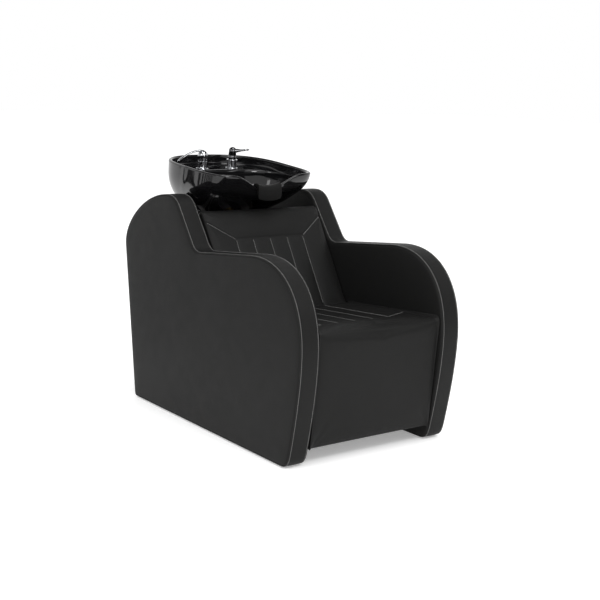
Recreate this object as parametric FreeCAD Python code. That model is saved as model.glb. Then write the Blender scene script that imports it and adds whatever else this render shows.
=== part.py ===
import FreeCAD, Part

import math
import os

# Salon backwash unit: an upholstered seat between two curved side panels, with a
# tilting ceramic basin on a steel stand behind it.  Millimetres, +Z up, -Y is the
# front, +X is the sitter's left.  The origin is the centre of the footprint on the floor.

V = FreeCAD.Vector

# Driving dimensions
WIDTH = 700.0
PANEL_T = 78.0
PAD_T = 10.0
BAND_T = 12.0
GLIDE_H = 4.0
SEAT_GAP = 6.0
SEAT_SLAB = 70.0
APRON_T = 24.0
BACK_T = 80.0
PLY = 18.0
COVER_T = 12.0
SKIN_T = 9.0

# Hollows of the panel cores, in (y, z), between their ribs
CORE_CELLS = [
    [(-500, 60), (-219, 60), (-219, 620), (-330, 620), (-510, 480), (-540, 395), (-520, 200)],
    [(-201, 60), (51, 60), (51, 600), (-201, 620)],
    [(69, 60), (271, 60), (271, 780), (230, 770), (130, 620), (69, 600)],
    [(289, 60), (440, 60), (515, 600), (440, 720), (300, 780), (289, 780)],
]

HALF = WIDTH / 2
PANEL_IN = HALF - PANEL_T
CUSHION_HALF = PANEL_IN - SEAT_GAP
BOARD_HALF = PANEL_IN - 8.0

# Side outline in (y, z)
REAR_FOOT = (505.0, GLIDE_H)
REAR_KNEE = (587.0, 605.0)
HEAD_TOP = (256.0, 835.0)
STEP_TOP = (179.0, 797.0)
STEP_FOOT = (86.0, 674.0)
ARM_REAR = (31.0, 650.0)
ARM_FRONT = (-290.0, 684.0)
NOSE = (-595.0, 395.0)
SHIN = (-572.0, 165.0)
TOE_TOP = (-550.0, 62.0)
TOE_FOOT = (-500.0, GLIDE_H)

# Seat and back, in (y, z)
APRON_FOOT = (-546.0, 60.0)
SEAT_NOSE = (-579.0, 467.0)
SEAT_REAR = (-68.0, 430.0)
BACK_TOP = (150.0, 790.0)
BACK_SINK = 58.0

# Steel stand
RAIL_X = (200.0, 240.0)
RAIL_Z = (30.0, 70.0)
RAIL_END = 500.0
RAIL_FRONT = -300.0
BOARD_LOW = 78.0
UPRIGHT_X = (120.0, 160.0)
UPRIGHT_Y = (430.0, 470.0)
UPRIGHT_TOP = 690.0
MOUNT_T = 8.0
WALL = 3.0
BRACKET_HOLE_R = 5.5
BRACKET_HOLE_X = 165.0
BRACKET_HOLE_Y = (-200.0, 400.0)

# Tilt pivot
PIVOT_Y = 420.0
PIVOT_Z = 714.0
PIVOT_R = 8.0
PIN_CLEAR = 0.05
FIXED_EAR_X = 76.0
CRADLE_EAR_X = 66.0
EAR_T = 6.0

# Basin frame: s runs back along the rim plane, w runs up from it
RIM_Y = 130.0
RIM_Z = 916.0
RIM_TILT = 4.97
WALL_T = 14.0
LIP_S = -30.0
LIP_DROP = 52.0
LIP_WIDTH = 112.0
LIP_POWER = 2.6
BULGE_WIDTH = 85.0
DECK_W = -38.0
DECK_T = 14.0
DECK_FRONT = 304.0
TAP_S = 341.0
TAP_X = 70.0
TAP_HOLE_R = 16.0
BOWL_FLOOR_W = -165.0
BASIN_FOOT_W = -190.0
DRAIN_S = 205.0
DRAIN_R = 23.0

# Plumbing
HOSE_R = 5.0
TAIL_SIDE = 5.4
TAIL_BACK = 6.2
LOOP_Y = 500.0
HOSE_GAP = 1.2
INLET_R = 8.3
VALVE_X = 26.0
VALVE_Y = 482.0
WASTE_R = 20.0
WASTE_Z = 95.0
WASTE_Y = 352.0
REAR_EXIT = 512.0
VALVE_Z = 105.0


def export(shape, node):
    shape.exportStep("parts/%s.step" % node)


def group(shapes):
    return Part.makeCompound(shapes)


def fuse(first, *others):
    shape = first
    for other in others:
        shape = shape.fuse(other)
    return shape.removeSplitter()


def box(low, high):
    size = [b - a for a, b in zip(low, high)]
    return Part.makeBox(size[0], size[1], size[2], V(*low))


def rod(r, base, axis, length):
    return Part.makeCylinder(r, length, V(*base), V(*axis))


def ring(r_out, r_in, base, axis, length):
    return rod(r_out, base, axis, length).cut(rod(r_in, base, axis, length))


def slab(wire, x_low, x_high):
    """A prism of a (y, z) outline between two x planes."""
    moved = wire.copy()
    moved.translate(V(x_low, 0, 0))
    return Part.Face(moved).extrude(V(x_high - x_low, 0, 0))


def outline(points):
    corners = [V(0, y, z) for y, z in points]
    return Part.makePolygon(corners + corners[:1])


def prism(points, x_low, x_high):
    return slab(outline(points), x_low, x_high)


def bezier(*points):
    curve = Part.BezierCurve()
    curve.setPoles([V(0, y, z) for y, z in points])
    return curve.toShape()


def line(a, b):
    return Part.makeLine(V(0, *a), V(0, *b))


def unit(a, b):
    length = math.hypot(b[0] - a[0], b[1] - a[1])
    return (b[0] - a[0]) / length, (b[1] - a[1]) / length


def along(point, direction, length):
    return (point[0] + direction[0] * length, point[1] + direction[1] * length)


def panel_runs():
    """The side panel's outline as straight runs and curves, smooth but at the rear foot."""
    up_rear = unit(REAR_FOOT, REAR_KNEE)
    down_step = unit(STEP_TOP, STEP_FOOT)
    to_front = unit(ARM_REAR, ARM_FRONT)
    down_toe = unit(SHIN, TOE_TOP)
    return [
        (REAR_FOOT, REAR_KNEE),
        (REAR_KNEE, along(REAR_KNEE, up_rear, 100), (420, HEAD_TOP[1]), HEAD_TOP),
        (HEAD_TOP, (224, HEAD_TOP[1]), along(STEP_TOP, down_step, -31), STEP_TOP),
        (STEP_TOP, STEP_FOOT),
        (STEP_FOOT, along(STEP_FOOT, down_step, 23), along(ARM_REAR, to_front, -22), ARM_REAR),
        (ARM_REAR, ARM_FRONT),
        (ARM_FRONT, along(ARM_FRONT, to_front, 190), (NOSE[0], 585), NOSE),
        (NOSE, (NOSE[0], 290), SHIN, TOE_TOP),
        (TOE_TOP, along(TOE_TOP, down_toe, 40), (-532, GLIDE_H), TOE_FOOT),
        (TOE_FOOT, REAR_FOOT),
    ]


def run_edge(run):
    return line(*run) if len(run) == 2 else bezier(*run)


def inset_edge(run, depth, first, last):
    """One run of the outline moved in by depth; first and last replace its ends if given."""
    edge = run_edge(run)
    count = 1 if len(run) == 2 else 14
    low, high = edge.ParameterRange
    points = []
    for k in range(count + 1):
        at = low + (high - low) * k / count
        spot = edge.valueAt(at)
        way = edge.tangentAt(at)
        points.append(V(0, spot.y - way.z * depth, spot.z + way.y * depth))
    points[0] = first or points[0]
    points[-1] = last or points[-1]
    if count == 1:
        return Part.makeLine(*points)
    curve = Part.BSplineCurve()
    curve.interpolate(points, InitialTangent=edge.tangentAt(low), FinalTangent=edge.tangentAt(high))
    return curve.toShape()


def panel_wire(depth=0.0):
    """The outline moved in by depth."""
    runs = panel_runs()
    if depth == 0:
        return Part.Wire([run_edge(run) for run in runs])
    rear = unit(REAR_FOOT, REAR_KNEE)
    corner_z = REAR_FOOT[1] + depth
    corner = V(0, REAR_FOOT[0] - depth / rear[1] + depth * rear[0] / rear[1], corner_z)
    edges = []
    for run in runs:
        first = corner if run[0] == REAR_FOOT else edges[-1].valueAt(edges[-1].LastParameter)
        last = corner if run[-1] == REAR_FOOT else None
        edges.append(inset_edge(run, depth, first, last))
    return Part.Wire(edges)


BOLT_PLACES = [(-450.0, 250.0), (-280.0, 250.0), (-150.0, 150.0)]
BOLT_R = 4.0
BOLT_HOLE_R = 4.2
BOLT_HEAD = 6.0


def bolt_holes(x_low, x_high):
    return [rod(BOLT_HOLE_R, (x_low, y, z), (1, 0, 0), x_high - x_low) for y, z in BOLT_PLACES]


def core_cells(x_low, x_high):
    """The hollow cells of the panel's box frame, open towards the outer pad."""
    cells = group([prism(corners, x_low, x_high) for corners in CORE_CELLS])
    blocks = [box((x_low, y - 30, z - 30), (x_high, y + 30, z + 30)) for y, z in BOLT_PLACES]
    return cells.cut(group(blocks))


def side_panel(side, sign):
    outer = panel_wire()
    inner = panel_wire(BAND_T)
    core_in = PANEL_IN + PAD_T
    core_out = HALF - PAD_T

    def placed(shape):
        if sign > 0:
            return shape
        return shape.mirror(V(0, 0, 0), V(1, 0, 0))

    holes = bolt_holes(PANEL_IN - 1, PANEL_IN + 40)
    core = slab(inner, core_in, core_out).cut(group(holes)).cut(core_cells(core_in + SKIN_T, core_out))
    pad_in = slab(inner, PANEL_IN, core_in).cut(group(holes))
    pad_out = slab(inner, core_out, HALF)
    band = slab(outer, PANEL_IN, HALF).cut(slab(inner, PANEL_IN - 1, HALF + 1))
    glides = [rod(22, ((PANEL_IN + HALF) / 2, y, 0), (0, 0, 1), GLIDE_H) for y in (-440, 440)]
    bolts = []
    for y, z in BOLT_PLACES:
        shank = rod(BOLT_R, (BOARD_HALF - PLY, y, z), (1, 0, 0), PANEL_IN + 38 - BOARD_HALF + PLY)
        head = rod(9, (BOARD_HALF - PLY - BOLT_HEAD, y, z), (1, 0, 0), BOLT_HEAD)
        bolts.append(fuse(shank, head))
    export(placed(core), side + "_panel_core")
    export(placed(pad_in), side + "_inner_pad")
    export(placed(pad_out), side + "_outer_pad")
    export(placed(band), side + "_border_band")
    return [placed(glide) for glide in glides], [placed(bolt) for bolt in bolts]


BACK_DIR = unit(SEAT_REAR, BACK_TOP)
BACK_NORMAL = (BACK_DIR[1], -BACK_DIR[0])
BACK_LENGTH = math.dist(SEAT_REAR, BACK_TOP)


def on_back(along, depth):
    """A (y, z) point: along the back's face from the seat, and depth behind it."""
    return (SEAT_REAR[0] + along * BACK_DIR[0] + depth * BACK_NORMAL[0],
            SEAT_REAR[1] + along * BACK_DIR[1] + depth * BACK_NORMAL[1])


def seat_rear_foot():
    """Where the underside of the seat slab ends, just in front of the back cushion."""
    return on_back(-SEAT_SLAB / BACK_DIR[1], -2)[0], SEAT_REAR[1] - SEAT_SLAB


def seat_cushion():
    slope = (SEAT_NOSE[1] - SEAT_REAR[1]) / (SEAT_REAR[0] - SEAT_NOSE[0])
    nose_r = 26.0
    lean = (SEAT_NOSE[0] - APRON_FOOT[0]) / (SEAT_NOSE[1] - APRON_FOOT[1])
    face_end = (SEAT_NOSE[0] - lean * nose_r, SEAT_NOSE[1] - nose_r)
    top_start = (SEAT_NOSE[0] + nose_r, SEAT_NOSE[1] - slope * nose_r)
    face_mid = (SEAT_NOSE[0] + 0.29 * nose_r, SEAT_NOSE[1] - 0.31 * nose_r)
    rear_top = on_back(0, -2)
    rear_foot = seat_rear_foot()
    apron_top = (SEAT_NOSE[0] + APRON_T, SEAT_NOSE[1] - SEAT_SLAB)
    edges = [
        line(APRON_FOOT, face_end),
        Part.Arc(V(0, *face_end), V(0, *face_mid), V(0, *top_start)).toShape(),
        line(top_start, rear_top),
        line(rear_top, rear_foot),
        line(rear_foot, apron_top),
        line(apron_top, (APRON_FOOT[0] + APRON_T, APRON_FOOT[1])),
        line((APRON_FOOT[0] + APRON_T, APRON_FOOT[1]), APRON_FOOT),
    ]
    return slab(Part.Wire(edges), -CUSHION_HALF, CUSHION_HALF)


def seat():
    under = SEAT_NOSE[1] - SEAT_SLAB
    rear_under = SEAT_REAR[1] - SEAT_SLAB
    front = SEAT_NOSE[0] + APRON_T
    foot = APRON_FOOT[0] + APRON_T
    rear = -116.0
    fall = (under - rear_under) / (seat_rear_foot()[0] - front)
    lean = (foot - front) / (under - APRON_FOOT[1])

    def top(y, depth=0.0):
        return under - fall * (y - front) - depth

    def face(z, depth=0.0):
        return foot - lean * (z - APRON_FOOT[1]) + depth

    export(seat_cushion(), "seat_cushion")
    corner = (foot - lean * (under + fall * front - PLY - APRON_FOOT[1])) / (1 - lean * fall)
    deck = prism([(front, top(front)), (rear, top(rear)), (rear, top(rear, PLY)), (corner, top(corner, PLY))],
                 -BOARD_HALF, BOARD_HALF)
    export(deck, "seat_deck")
    low = BOARD_LOW
    behind = corner + PLY
    front_side = [(face(low), low), (corner, top(corner, PLY))]
    rear_side = [(behind, top(behind, PLY)), (face(low, PLY), low)]
    board = prism(front_side + rear_side, -BOARD_HALF, BOARD_HALF)
    export(board, "seat_front_board")
    side = prism([(face(low, PLY), low), (behind, top(behind, PLY)),
                  (rear - 2, top(rear - 2, PLY)), (rear - 2, low)], BOARD_HALF - PLY, BOARD_HALF)
    side = side.cut(group(bolt_holes(BOARD_HALF - PLY - 1, BOARD_HALF + 1)))
    export(side, "left_seat_side_board")
    export(side.mirror(V(0, 0, 0), V(1, 0, 0)), "right_seat_side_board")
    inner = BOARD_HALF - PLY
    export(box((-inner, rear - 2 - PLY, low), (inner, rear - 2, top(rear - 2, PLY))), "seat_rear_board")


def back():
    edge_r = 22.0
    low = -BACK_SINK
    high = BACK_LENGTH
    face_end = on_back(high - edge_r, 0)
    mid = on_back(high - 0.29 * edge_r, 0.29 * edge_r)
    top_start = on_back(high, edge_r)
    rear_mid = on_back(high - 0.29 * edge_r, BACK_T - 0.29 * edge_r)
    cushion = Part.Wire([
        line(on_back(low, 0), face_end),
        Part.Arc(V(0, *face_end), V(0, *mid), V(0, *top_start)).toShape(),
        line(top_start, on_back(high, BACK_T - edge_r)),
        Part.Arc(V(0, *on_back(high, BACK_T - edge_r)), V(0, *rear_mid),
                 V(0, *on_back(high - edge_r, BACK_T))).toShape(),
        line(on_back(high - edge_r, BACK_T), on_back(low, BACK_T)),
        line(on_back(low, BACK_T), on_back(low, 0)),
    ])
    export(slab(cushion, -CUSHION_HALF, CUSHION_HALF), "back_cushion")
    board = [on_back(low, BACK_T), on_back(high - edge_r, BACK_T),
             on_back(high - edge_r, BACK_T + PLY), on_back(low, BACK_T + PLY)]
    export(prism(board, -BOARD_HALF, BOARD_HALF), "back_board")
    deep = BACK_T + PLY
    cleat = [on_back(20, deep), on_back(340, deep), on_back(340, deep + 40), on_back(20, deep + 40)]
    left = prism(cleat, BOARD_HALF - 32, PANEL_IN)
    export(group([left, mirrored(left)]), "back_cleats")


def tube_y(x_low, x_high, y_low, y_high, z_low, z_high):
    shell = box((x_low, y_low, z_low), (x_high, y_high, z_high))
    hollow = box((x_low + WALL, y_low + WALL, z_low + WALL), (x_high - WALL, y_high - WALL, z_high - WALL))
    return shell.cut(hollow)


def mirrored(shape):
    return shape.mirror(V(0, 0, 0), V(1, 0, 0))


def stand():
    rail = tube_y(RAIL_X[0], RAIL_X[1], RAIL_FRONT, RAIL_END, *RAIL_Z)
    export(rail, "left_base_rail")
    export(mirrored(rail), "right_base_rail")
    cross = {"front": (-280, -240), "middle": (80, 120), "rear": UPRIGHT_Y}
    for name, (y_low, y_high) in cross.items():
        export(tube_y(-RAIL_X[0], RAIL_X[0], y_low, y_high, *RAIL_Z), name + "_cross_rail")
    upright = tube_y(*UPRIGHT_X, *UPRIGHT_Y, RAIL_Z[1], UPRIGHT_TOP)
    export(upright, "left_upright")
    export(mirrored(upright), "right_upright")
    feet = []
    for x in (-220, 220):
        for y in (RAIL_FRONT + 30, RAIL_END - 30):
            pad = rod(20, (x, y, 0), (0, 0, 1), 8)
            feet.append(fuse(pad, rod(5, (x, y, 8), (0, 0, 1), RAIL_Z[0] - 8)))
    export(group(feet), "levelling_feet")
    brackets = []
    for sign_x in (-1, 1):
        for y in BRACKET_HOLE_Y:
            foot = box((140, y - 20, 0), (RAIL_X[0], y + 20, 5))
            leg = box((RAIL_X[0] - 5, y - 20, 0), (RAIL_X[0], y + 20, 62))
            hole = rod(BRACKET_HOLE_R, (BRACKET_HOLE_X, y, -1), (0, 0, 1), 7)
            bracket = fuse(foot, leg).cut(hole)
            brackets.append(bracket if sign_x > 0 else mirrored(bracket))
    export(group(brackets), "floor_brackets")
    plate = box((-UPRIGHT_X[1], 396, UPRIGHT_TOP), (UPRIGHT_X[1], UPRIGHT_Y[1], UPRIGHT_TOP + MOUNT_T))
    export(plate, "basin_mount_plate")


def ear(x_low, base_z):
    """A vertical bracket plate in y and z, round about the pivot."""
    width = 14.0
    foot = box((x_low, PIVOT_Y - width, min(base_z, PIVOT_Z)),
               (x_low + EAR_T, PIVOT_Y + width, max(base_z, PIVOT_Z)))
    boss = rod(width, (x_low, PIVOT_Y, PIVOT_Z), (1, 0, 0), EAR_T)
    hole = rod(PIVOT_R, (x_low - 1, PIVOT_Y, PIVOT_Z), (1, 0, 0), EAR_T + 2)
    return fuse(foot, boss).cut(hole)


def pivot():
    plate_top = UPRIGHT_TOP + MOUNT_T
    right_ear = ear(-FIXED_EAR_X, plate_top)
    left_ear = ear(FIXED_EAR_X - EAR_T, plate_top)
    export(group([right_ear, left_ear]), "pivot_ears")
    pin_r = PIVOT_R - PIN_CLEAR
    lever_x = UPRIGHT_X[1] + 4
    pin_start = -FIXED_EAR_X - 2
    pin = rod(pin_r, (pin_start, PIVOT_Y, PIVOT_Z), (1, 0, 0), lever_x + 16 - pin_start)
    head = rod(12, (pin_start - 6, PIVOT_Y, PIVOT_Z), (1, 0, 0), 6)
    export(fuse(pin, head), "pivot_pin")
    hub = ring(14, PIVOT_R, (lever_x, PIVOT_Y, PIVOT_Z), (1, 0, 0), 12)
    arm = box((lever_x + 2, PIVOT_Y + 12, PIVOT_Z - 5), (lever_x + 10, PIVOT_Y + 100, PIVOT_Z + 5))
    grip = rod(9, (lever_x + 6, PIVOT_Y + 92, PIVOT_Z), (1, 0, 0), 40)
    export(fuse(hub, arm, grip), "tilt_lock_lever")


def rear_line(z):
    """y of the panels' rear edge at height z."""
    return REAR_FOOT[0] + (REAR_KNEE[0] - REAR_FOOT[0]) * (z - GLIDE_H) / (REAR_KNEE[1] - GLIDE_H)


COVER_Z = (132.0, 600.0)
SCREW_Z = (160.0, 366.0, 572.0)
# the cover's upper part follows the panels' curve: outside, then inside
COVER_BEND = [(573.0, 650.0), (547.0, 694.0), (538.0, 704.0)]
COVER_BEND_IN = [(529.4, 695.6), (537.0, 687.3), (561.7, 646.0)]


def rear_cover():
    low, high = COVER_Z
    skin = [(rear_line(low) - 6, low), (rear_line(high) - 6, high), *COVER_BEND, *COVER_BEND_IN,
            (rear_line(high) - 6 - COVER_T, high), (rear_line(low) - 6 - COVER_T, low)]
    cover = prism(skin, -PANEL_IN + 4, PANEL_IN - 4)
    holes = []
    screws = []
    for x in (-250, 250):
        for z in SCREW_Z:
            y = rear_line(z) - 6
            holes.append(rod(2.6, (x, y - COVER_T - 6, z), (0, 1, 0), COVER_T + 12))
            shank = rod(2.4, (x, y - COVER_T - 14, z), (0, 1, 0), COVER_T + 16)
            screws.append(fuse(shank, rod(5.5, (x, y + 1.5, z), (0, 1, 0), 2.5)))
    export(cover.cut(group(holes)), "rear_cover")
    batten = [(rear_line(low) - 6 - COVER_T, low), (rear_line(high) - 6 - COVER_T, high),
              (rear_line(high) - 36 - COVER_T, high), (rear_line(low) - 36 - COVER_T, low)]
    left = prism(batten, BOARD_HALF - 32, PANEL_IN).cut(group(holes + screws))
    export(group([left, mirrored(left)]), "rear_battens")
    export(group(screws), "rear_cover_screws")


# Basin sections, from the rim down: depth, half width, front, back, lip share
OUTER = [
    (0.0, 239.0, -30.0, 462.0, 1.0),
    (-25.0, 238.0, -24.0, 461.0, 1.0),
    (-52.0, 236.0, -6.0, 459.0, 1.0),
    (-75.0, 231.0, 16.0, 456.0, 0.75),
    (-100.0, 221.0, 48.0, 450.0, 0.45),
    (-140.0, 196.0, 102.0, 430.0, 0.12),
    (-175.0, 153.0, 154.0, 392.0, 0.0),
    (BASIN_FOOT_W, 128.0, 178.0, 368.0, 0.0),
]


def shape_at(w):
    """Outer half width, front, back and lip share at depth w, between the sections."""
    if w >= OUTER[0][0]:
        return OUTER[0][1:]
    for upper, lower in zip(OUTER, OUTER[1:]):
        if w >= lower[0]:
            t = (upper[0] - w) / (upper[0] - lower[0])
            return tuple(a + t * (b - a) for a, b in zip(upper[1:], lower[1:]))
    return OUTER[-1][1:]


SECTION_POINTS = 48
BACK_POWER = 2.6
FRONT_POWER = 6.0


def section(w, at, inset, back_limit=1e9):
    """A closed curve at height w whose plan is that of depth at, drawn in by inset."""
    half, front, back, share = shape_at(at)
    half -= inset
    base_front = front + inset
    back = min(back - inset, back_limit)
    middle = (base_front + back) / 2
    points = []
    for k in range(SECTION_POINTS):
        angle = 2 * math.pi * (k + 0.5) / SECTION_POINTS
        c, n = math.cos(angle), math.sin(angle)
        power = BACK_POWER if n > 0 else FRONT_POWER
        x = half * math.copysign(abs(c) ** (2 / power), c)
        reach = (back - middle) if n > 0 else (middle - base_front)
        s = middle + reach * math.copysign(abs(n) ** (2 / power), n)
        if n < 0:
            pull = (front - LIP_S) * share * math.exp(-(x / BULGE_WIDTH) ** 2)
            s -= pull * abs(n) ** 1.5
        points.append(V(x, s, w))
    curve = Part.BSplineCurve()
    curve.interpolate(points, PeriodicFlag=True)
    return Part.Wire(curve.toShape())


def loft(sections):
    return Part.makeLoft(sections, True, False)


def lip_height(x):
    return -LIP_DROP * math.exp(-(abs(x) / LIP_WIDTH) ** LIP_POWER)


def notch_cutter():
    """Everything above the bell-shaped neck opening in the front wall."""
    reach = 200.0
    points = []
    for k in range(41):
        x = -reach + 2 * reach * k / 40
        points.append(V(x, -120, lip_height(x)))
    curve = Part.BSplineCurve()
    curve.interpolate(points)
    top = 60.0
    edges = [
        curve.toShape(),
        Part.makeLine(points[-1], V(reach, -120, top)),
        Part.makeLine(V(reach, -120, top), V(-reach, -120, top)),
        Part.makeLine(V(-reach, -120, top), points[0]),
    ]
    return Part.Face(Part.Wire(edges)).extrude(V(0, 330, 0))


def basin_bowl():
    body = loft([section(w, w, 0) for w, *_ in OUTER])
    tray = loft([section(w, min(w, 0), WALL_T) for w in (12.0, 0.0, -20.0, DECK_W)])
    depths = (-30.0, -60.0, -100.0, -135.0, BOWL_FLOOR_W)
    backs = (DECK_FRONT, DECK_FRONT - 2, DECK_FRONT - 12, DECK_FRONT - 28, DECK_FRONT - 56)
    bowl = loft([section(w, w, WALL_T + 2, b) for w, b in zip(depths, backs)])
    pocket = box((-140, DECK_FRONT + 14, -300), (140, DECK_FRONT + 122, DECK_W - DECK_T))
    body = body.cut(tray).cut(bowl).cut(pocket)
    body = body.cut(notch_cutter())
    for x in (-TAP_X, TAP_X):
        body = body.cut(rod(TAP_HOLE_R, (x, TAP_S, DECK_W - DECK_T - 5), (0, 0, 1), DECK_T + 10))
    body = body.cut(rod(DRAIN_R, (0, DRAIN_S, BASIN_FOOT_W - 5), (0, 0, 1), 60))
    return body


BASIN_MATRIX = FreeCAD.Placement(V(0, RIM_Y, RIM_Z), FreeCAD.Rotation(V(1, 0, 0), RIM_TILT)).toMatrix()


def seated(shape):
    """Moves a shape from the basin's own frame to its place on the stand."""
    return shape.transformed(BASIN_MATRIX, copy=True)


def basin_point(s, w):
    point = BASIN_MATRIX.multVec(V(0, s, w))
    return point.y, point.z


def cradle():
    plate = box((-90, DRAIN_S + 40, BASIN_FOOT_W - 6), (90, DECK_FRONT + 14, BASIN_FOOT_W))
    holes = []
    bolts = []
    for x in (-79, 79):
        for s in (DRAIN_S + 54, DECK_FRONT):
            holes.append(rod(4.2, (x, s, BASIN_FOOT_W - 7), (0, 0, 1), 8))
            shank = rod(4.0, (x, s, BASIN_FOOT_W - 6), (0, 0, 1), 6)
            bolts.append(fuse(shank, rod(7, (x, s, BASIN_FOOT_W - 11), (0, 0, 1), 5)))
    plate = seated(plate.cut(group(holes)))
    top_z = basin_point(DRAIN_S + 70, BASIN_FOOT_W - 6)[1]
    ears = []
    for x in (-CRADLE_EAR_X, CRADLE_EAR_X - EAR_T):
        ears.append(ear(x, top_z))
    export(fuse(plate, *ears), "basin_cradle")
    export(seated(group(bolts)), "cradle_bolts")


NECK_SINK = 0.5


def neck_rest():
    """A soft saddle over the lip, with a flap down the front."""
    hook = [(-11, -46), (-12, -2), (-9, 6.5), (-1, 10.5), (23, 11.5), (31, 7), (39, -6),
            (34, -9), (26, 3.0), (20, 4.6), (-2.5, 1.6), (-4.0, -46)]
    wires = []
    for x in (-52, -35, -17, 0, 17, 35, 52):
        rise = lip_height(x) + LIP_DROP
        points = []
        for y, z in hook:
            lift = rise if z > -30 else rise * 0.2
            points.append(V(x, RIM_Y + LIP_S + y + 3, RIM_Z - LIP_DROP - NECK_SINK + z + lift))
        wires.append(Part.makePolygon(points + points[:1]))
    return Part.makeLoft(wires, True, True)


def drain():
    floor = BOWL_FLOOR_W
    flange = ring(32, 19, (0, DRAIN_S, floor), (0, 0, 1), 3)
    sleeve = ring(22.5, 19, (0, DRAIN_S, BASIN_FOOT_W - 14), (0, 0, 1), floor - BASIN_FOOT_W + 14)
    export(seated(fuse(flange, sleeve)), "drain_flange")
    cup = ring(18.5, 16.5, (0, DRAIN_S, floor - 14), (0, 0, 1), 16)
    base = rod(18.5, (0, DRAIN_S, floor - 16), (0, 0, 1), 2)
    base = base.cut(group([rod(1.6, (9 * math.cos(a), DRAIN_S + 9 * math.sin(a), floor - 17), (0, 0, 1), 4)
                           for a in [k * math.pi / 4 for k in range(8)]]))
    rim = ring(27, 16.5, (0, DRAIN_S, floor + 3.3), (0, 0, 1), 2)
    neck = ring(18.5, 16.5, (0, DRAIN_S, floor + 1), (0, 0, 1), 3)
    export(seated(fuse(cup, base, neck, rim)), "drain_strainer")
    nut = ring(34, 22.7, (0, DRAIN_S, BASIN_FOOT_W - 12), (0, 0, 1), 12)
    export(seated(nut), "drain_nut")
    tail = ring(WASTE_R - 3, WASTE_R - 5.5, (0, DRAIN_S, BASIN_FOOT_W - 60), (0, 0, 1), 46)
    export(seated(tail), "drain_tailpiece")


def hexagon(across, base, length):
    corners = []
    for k in range(7):
        angle = math.pi / 3 * k
        corners.append(V(base[0] + across / math.sqrt(3) * math.cos(angle),
                         base[1] + across / math.sqrt(3) * math.sin(angle), base[2]))
    return Part.Face(Part.makePolygon(corners)).extrude(V(0, 0, length))


def back_nuts():
    """The hexagon nuts that pull the taps down onto the deck."""
    under = DECK_W - DECK_T
    nuts = []
    for x in (-TAP_X, TAP_X):
        nut = hexagon(42, (x, TAP_S, under - 10), 10)
        nuts.append(nut.cut(rod(12.2, (x, TAP_S, under - 11), (0, 0, 1), 12)))
    export(seated(group(nuts)), "tap_back_nuts")


def tap_tail(x):
    """The threaded shank that goes down through the deck."""
    under = DECK_W - DECK_T
    return rod(12, (x, TAP_S, under - 26), (0, 0, 1), DECK_T + 26)


MIXER_CAP_W = -6.0
LEVER_PIVOT_W = 12.0


def mixer():
    x = -TAP_X
    flange = ring(26, 18.2, (x, TAP_S, DECK_W), (0, 0, 1), 5)
    export(seated(flange), "mixer_flange")
    body = rod(18, (x, TAP_S, DECK_W), (0, 0, 1), MIXER_CAP_W - DECK_W - 0.4)
    spigot = rod(9, (x, TAP_S, MIXER_CAP_W - 1), (0, 0, 1), 12)
    export(seated(fuse(body, tap_tail(x), spigot)), "mixer_body")
    cap = Part.makeSphere(24, V(x, TAP_S, LEVER_PIVOT_W - 6))
    cap = cap.common(rod(24, (x, TAP_S, MIXER_CAP_W), (0, 0, 1), 60))
    cap = cap.common(rod(20, (x, TAP_S, MIXER_CAP_W), (0, 0, 1), 60))
    cap = cap.cut(rod(9.05, (x, TAP_S, MIXER_CAP_W - 1), (0, 0, 1), 13))
    slot = box((x - 40, TAP_S - 6.3, LEVER_PIVOT_W - 4), (x + 6.5, TAP_S + 6.3, 60))
    cap = cap.cut(slot)
    pin = rod(2, (x - 4, TAP_S - 6.3, LEVER_PIVOT_W + 3), (0, 1, 0), 12.6)
    export(seated(fuse(cap, pin)), "mixer_cap")
    path = [(x + 1, LEVER_PIVOT_W + 4), (x - 14, 25), (x - 42, 23), (x - 80, 9), (x - 114, -7)]
    widths = [5.6, 5.6, 5.2, 4.6, 3.6]
    heights = [4.0, 4.2, 3.2, 2.6, 2.0]
    wires = []
    for k, (px, pw) in enumerate(path):
        ahead = path[min(k + 1, len(path) - 1)]
        behind = path[max(k - 1, 0)]
        dx, dw = ahead[0] - behind[0], ahead[1] - behind[1]
        size = math.hypot(dx, dw)
        ellipse = Part.Ellipse(V(0, 0, 0), widths[k], heights[k])
        wire = Part.Wire(ellipse.toShape())
        # the ellipse's long axis lies along s and its short axis across the run
        frame = FreeCAD.Matrix(0, dw / size, dx / size, px,
                               1, 0, 0, TAP_S,
                               0, -dx / size, dw / size, pw, 0, 0, 0, 1)
        wires.append(wire.transformed(frame, copy=True))
    lever = Part.makeLoft(wires, True, False)
    eye = rod(4.4, (x - 4, TAP_S - 5.2, LEVER_PIVOT_W + 3), (0, 1, 0), 10.4)
    lever = lever.fuse(eye).cut(rod(2.05, (x - 4, TAP_S - 9, LEVER_PIVOT_W + 3), (0, 1, 0), 18))
    return seated(lever)


SHOWER_R = 13.5
HOLDER_TOP = -2.0


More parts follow.
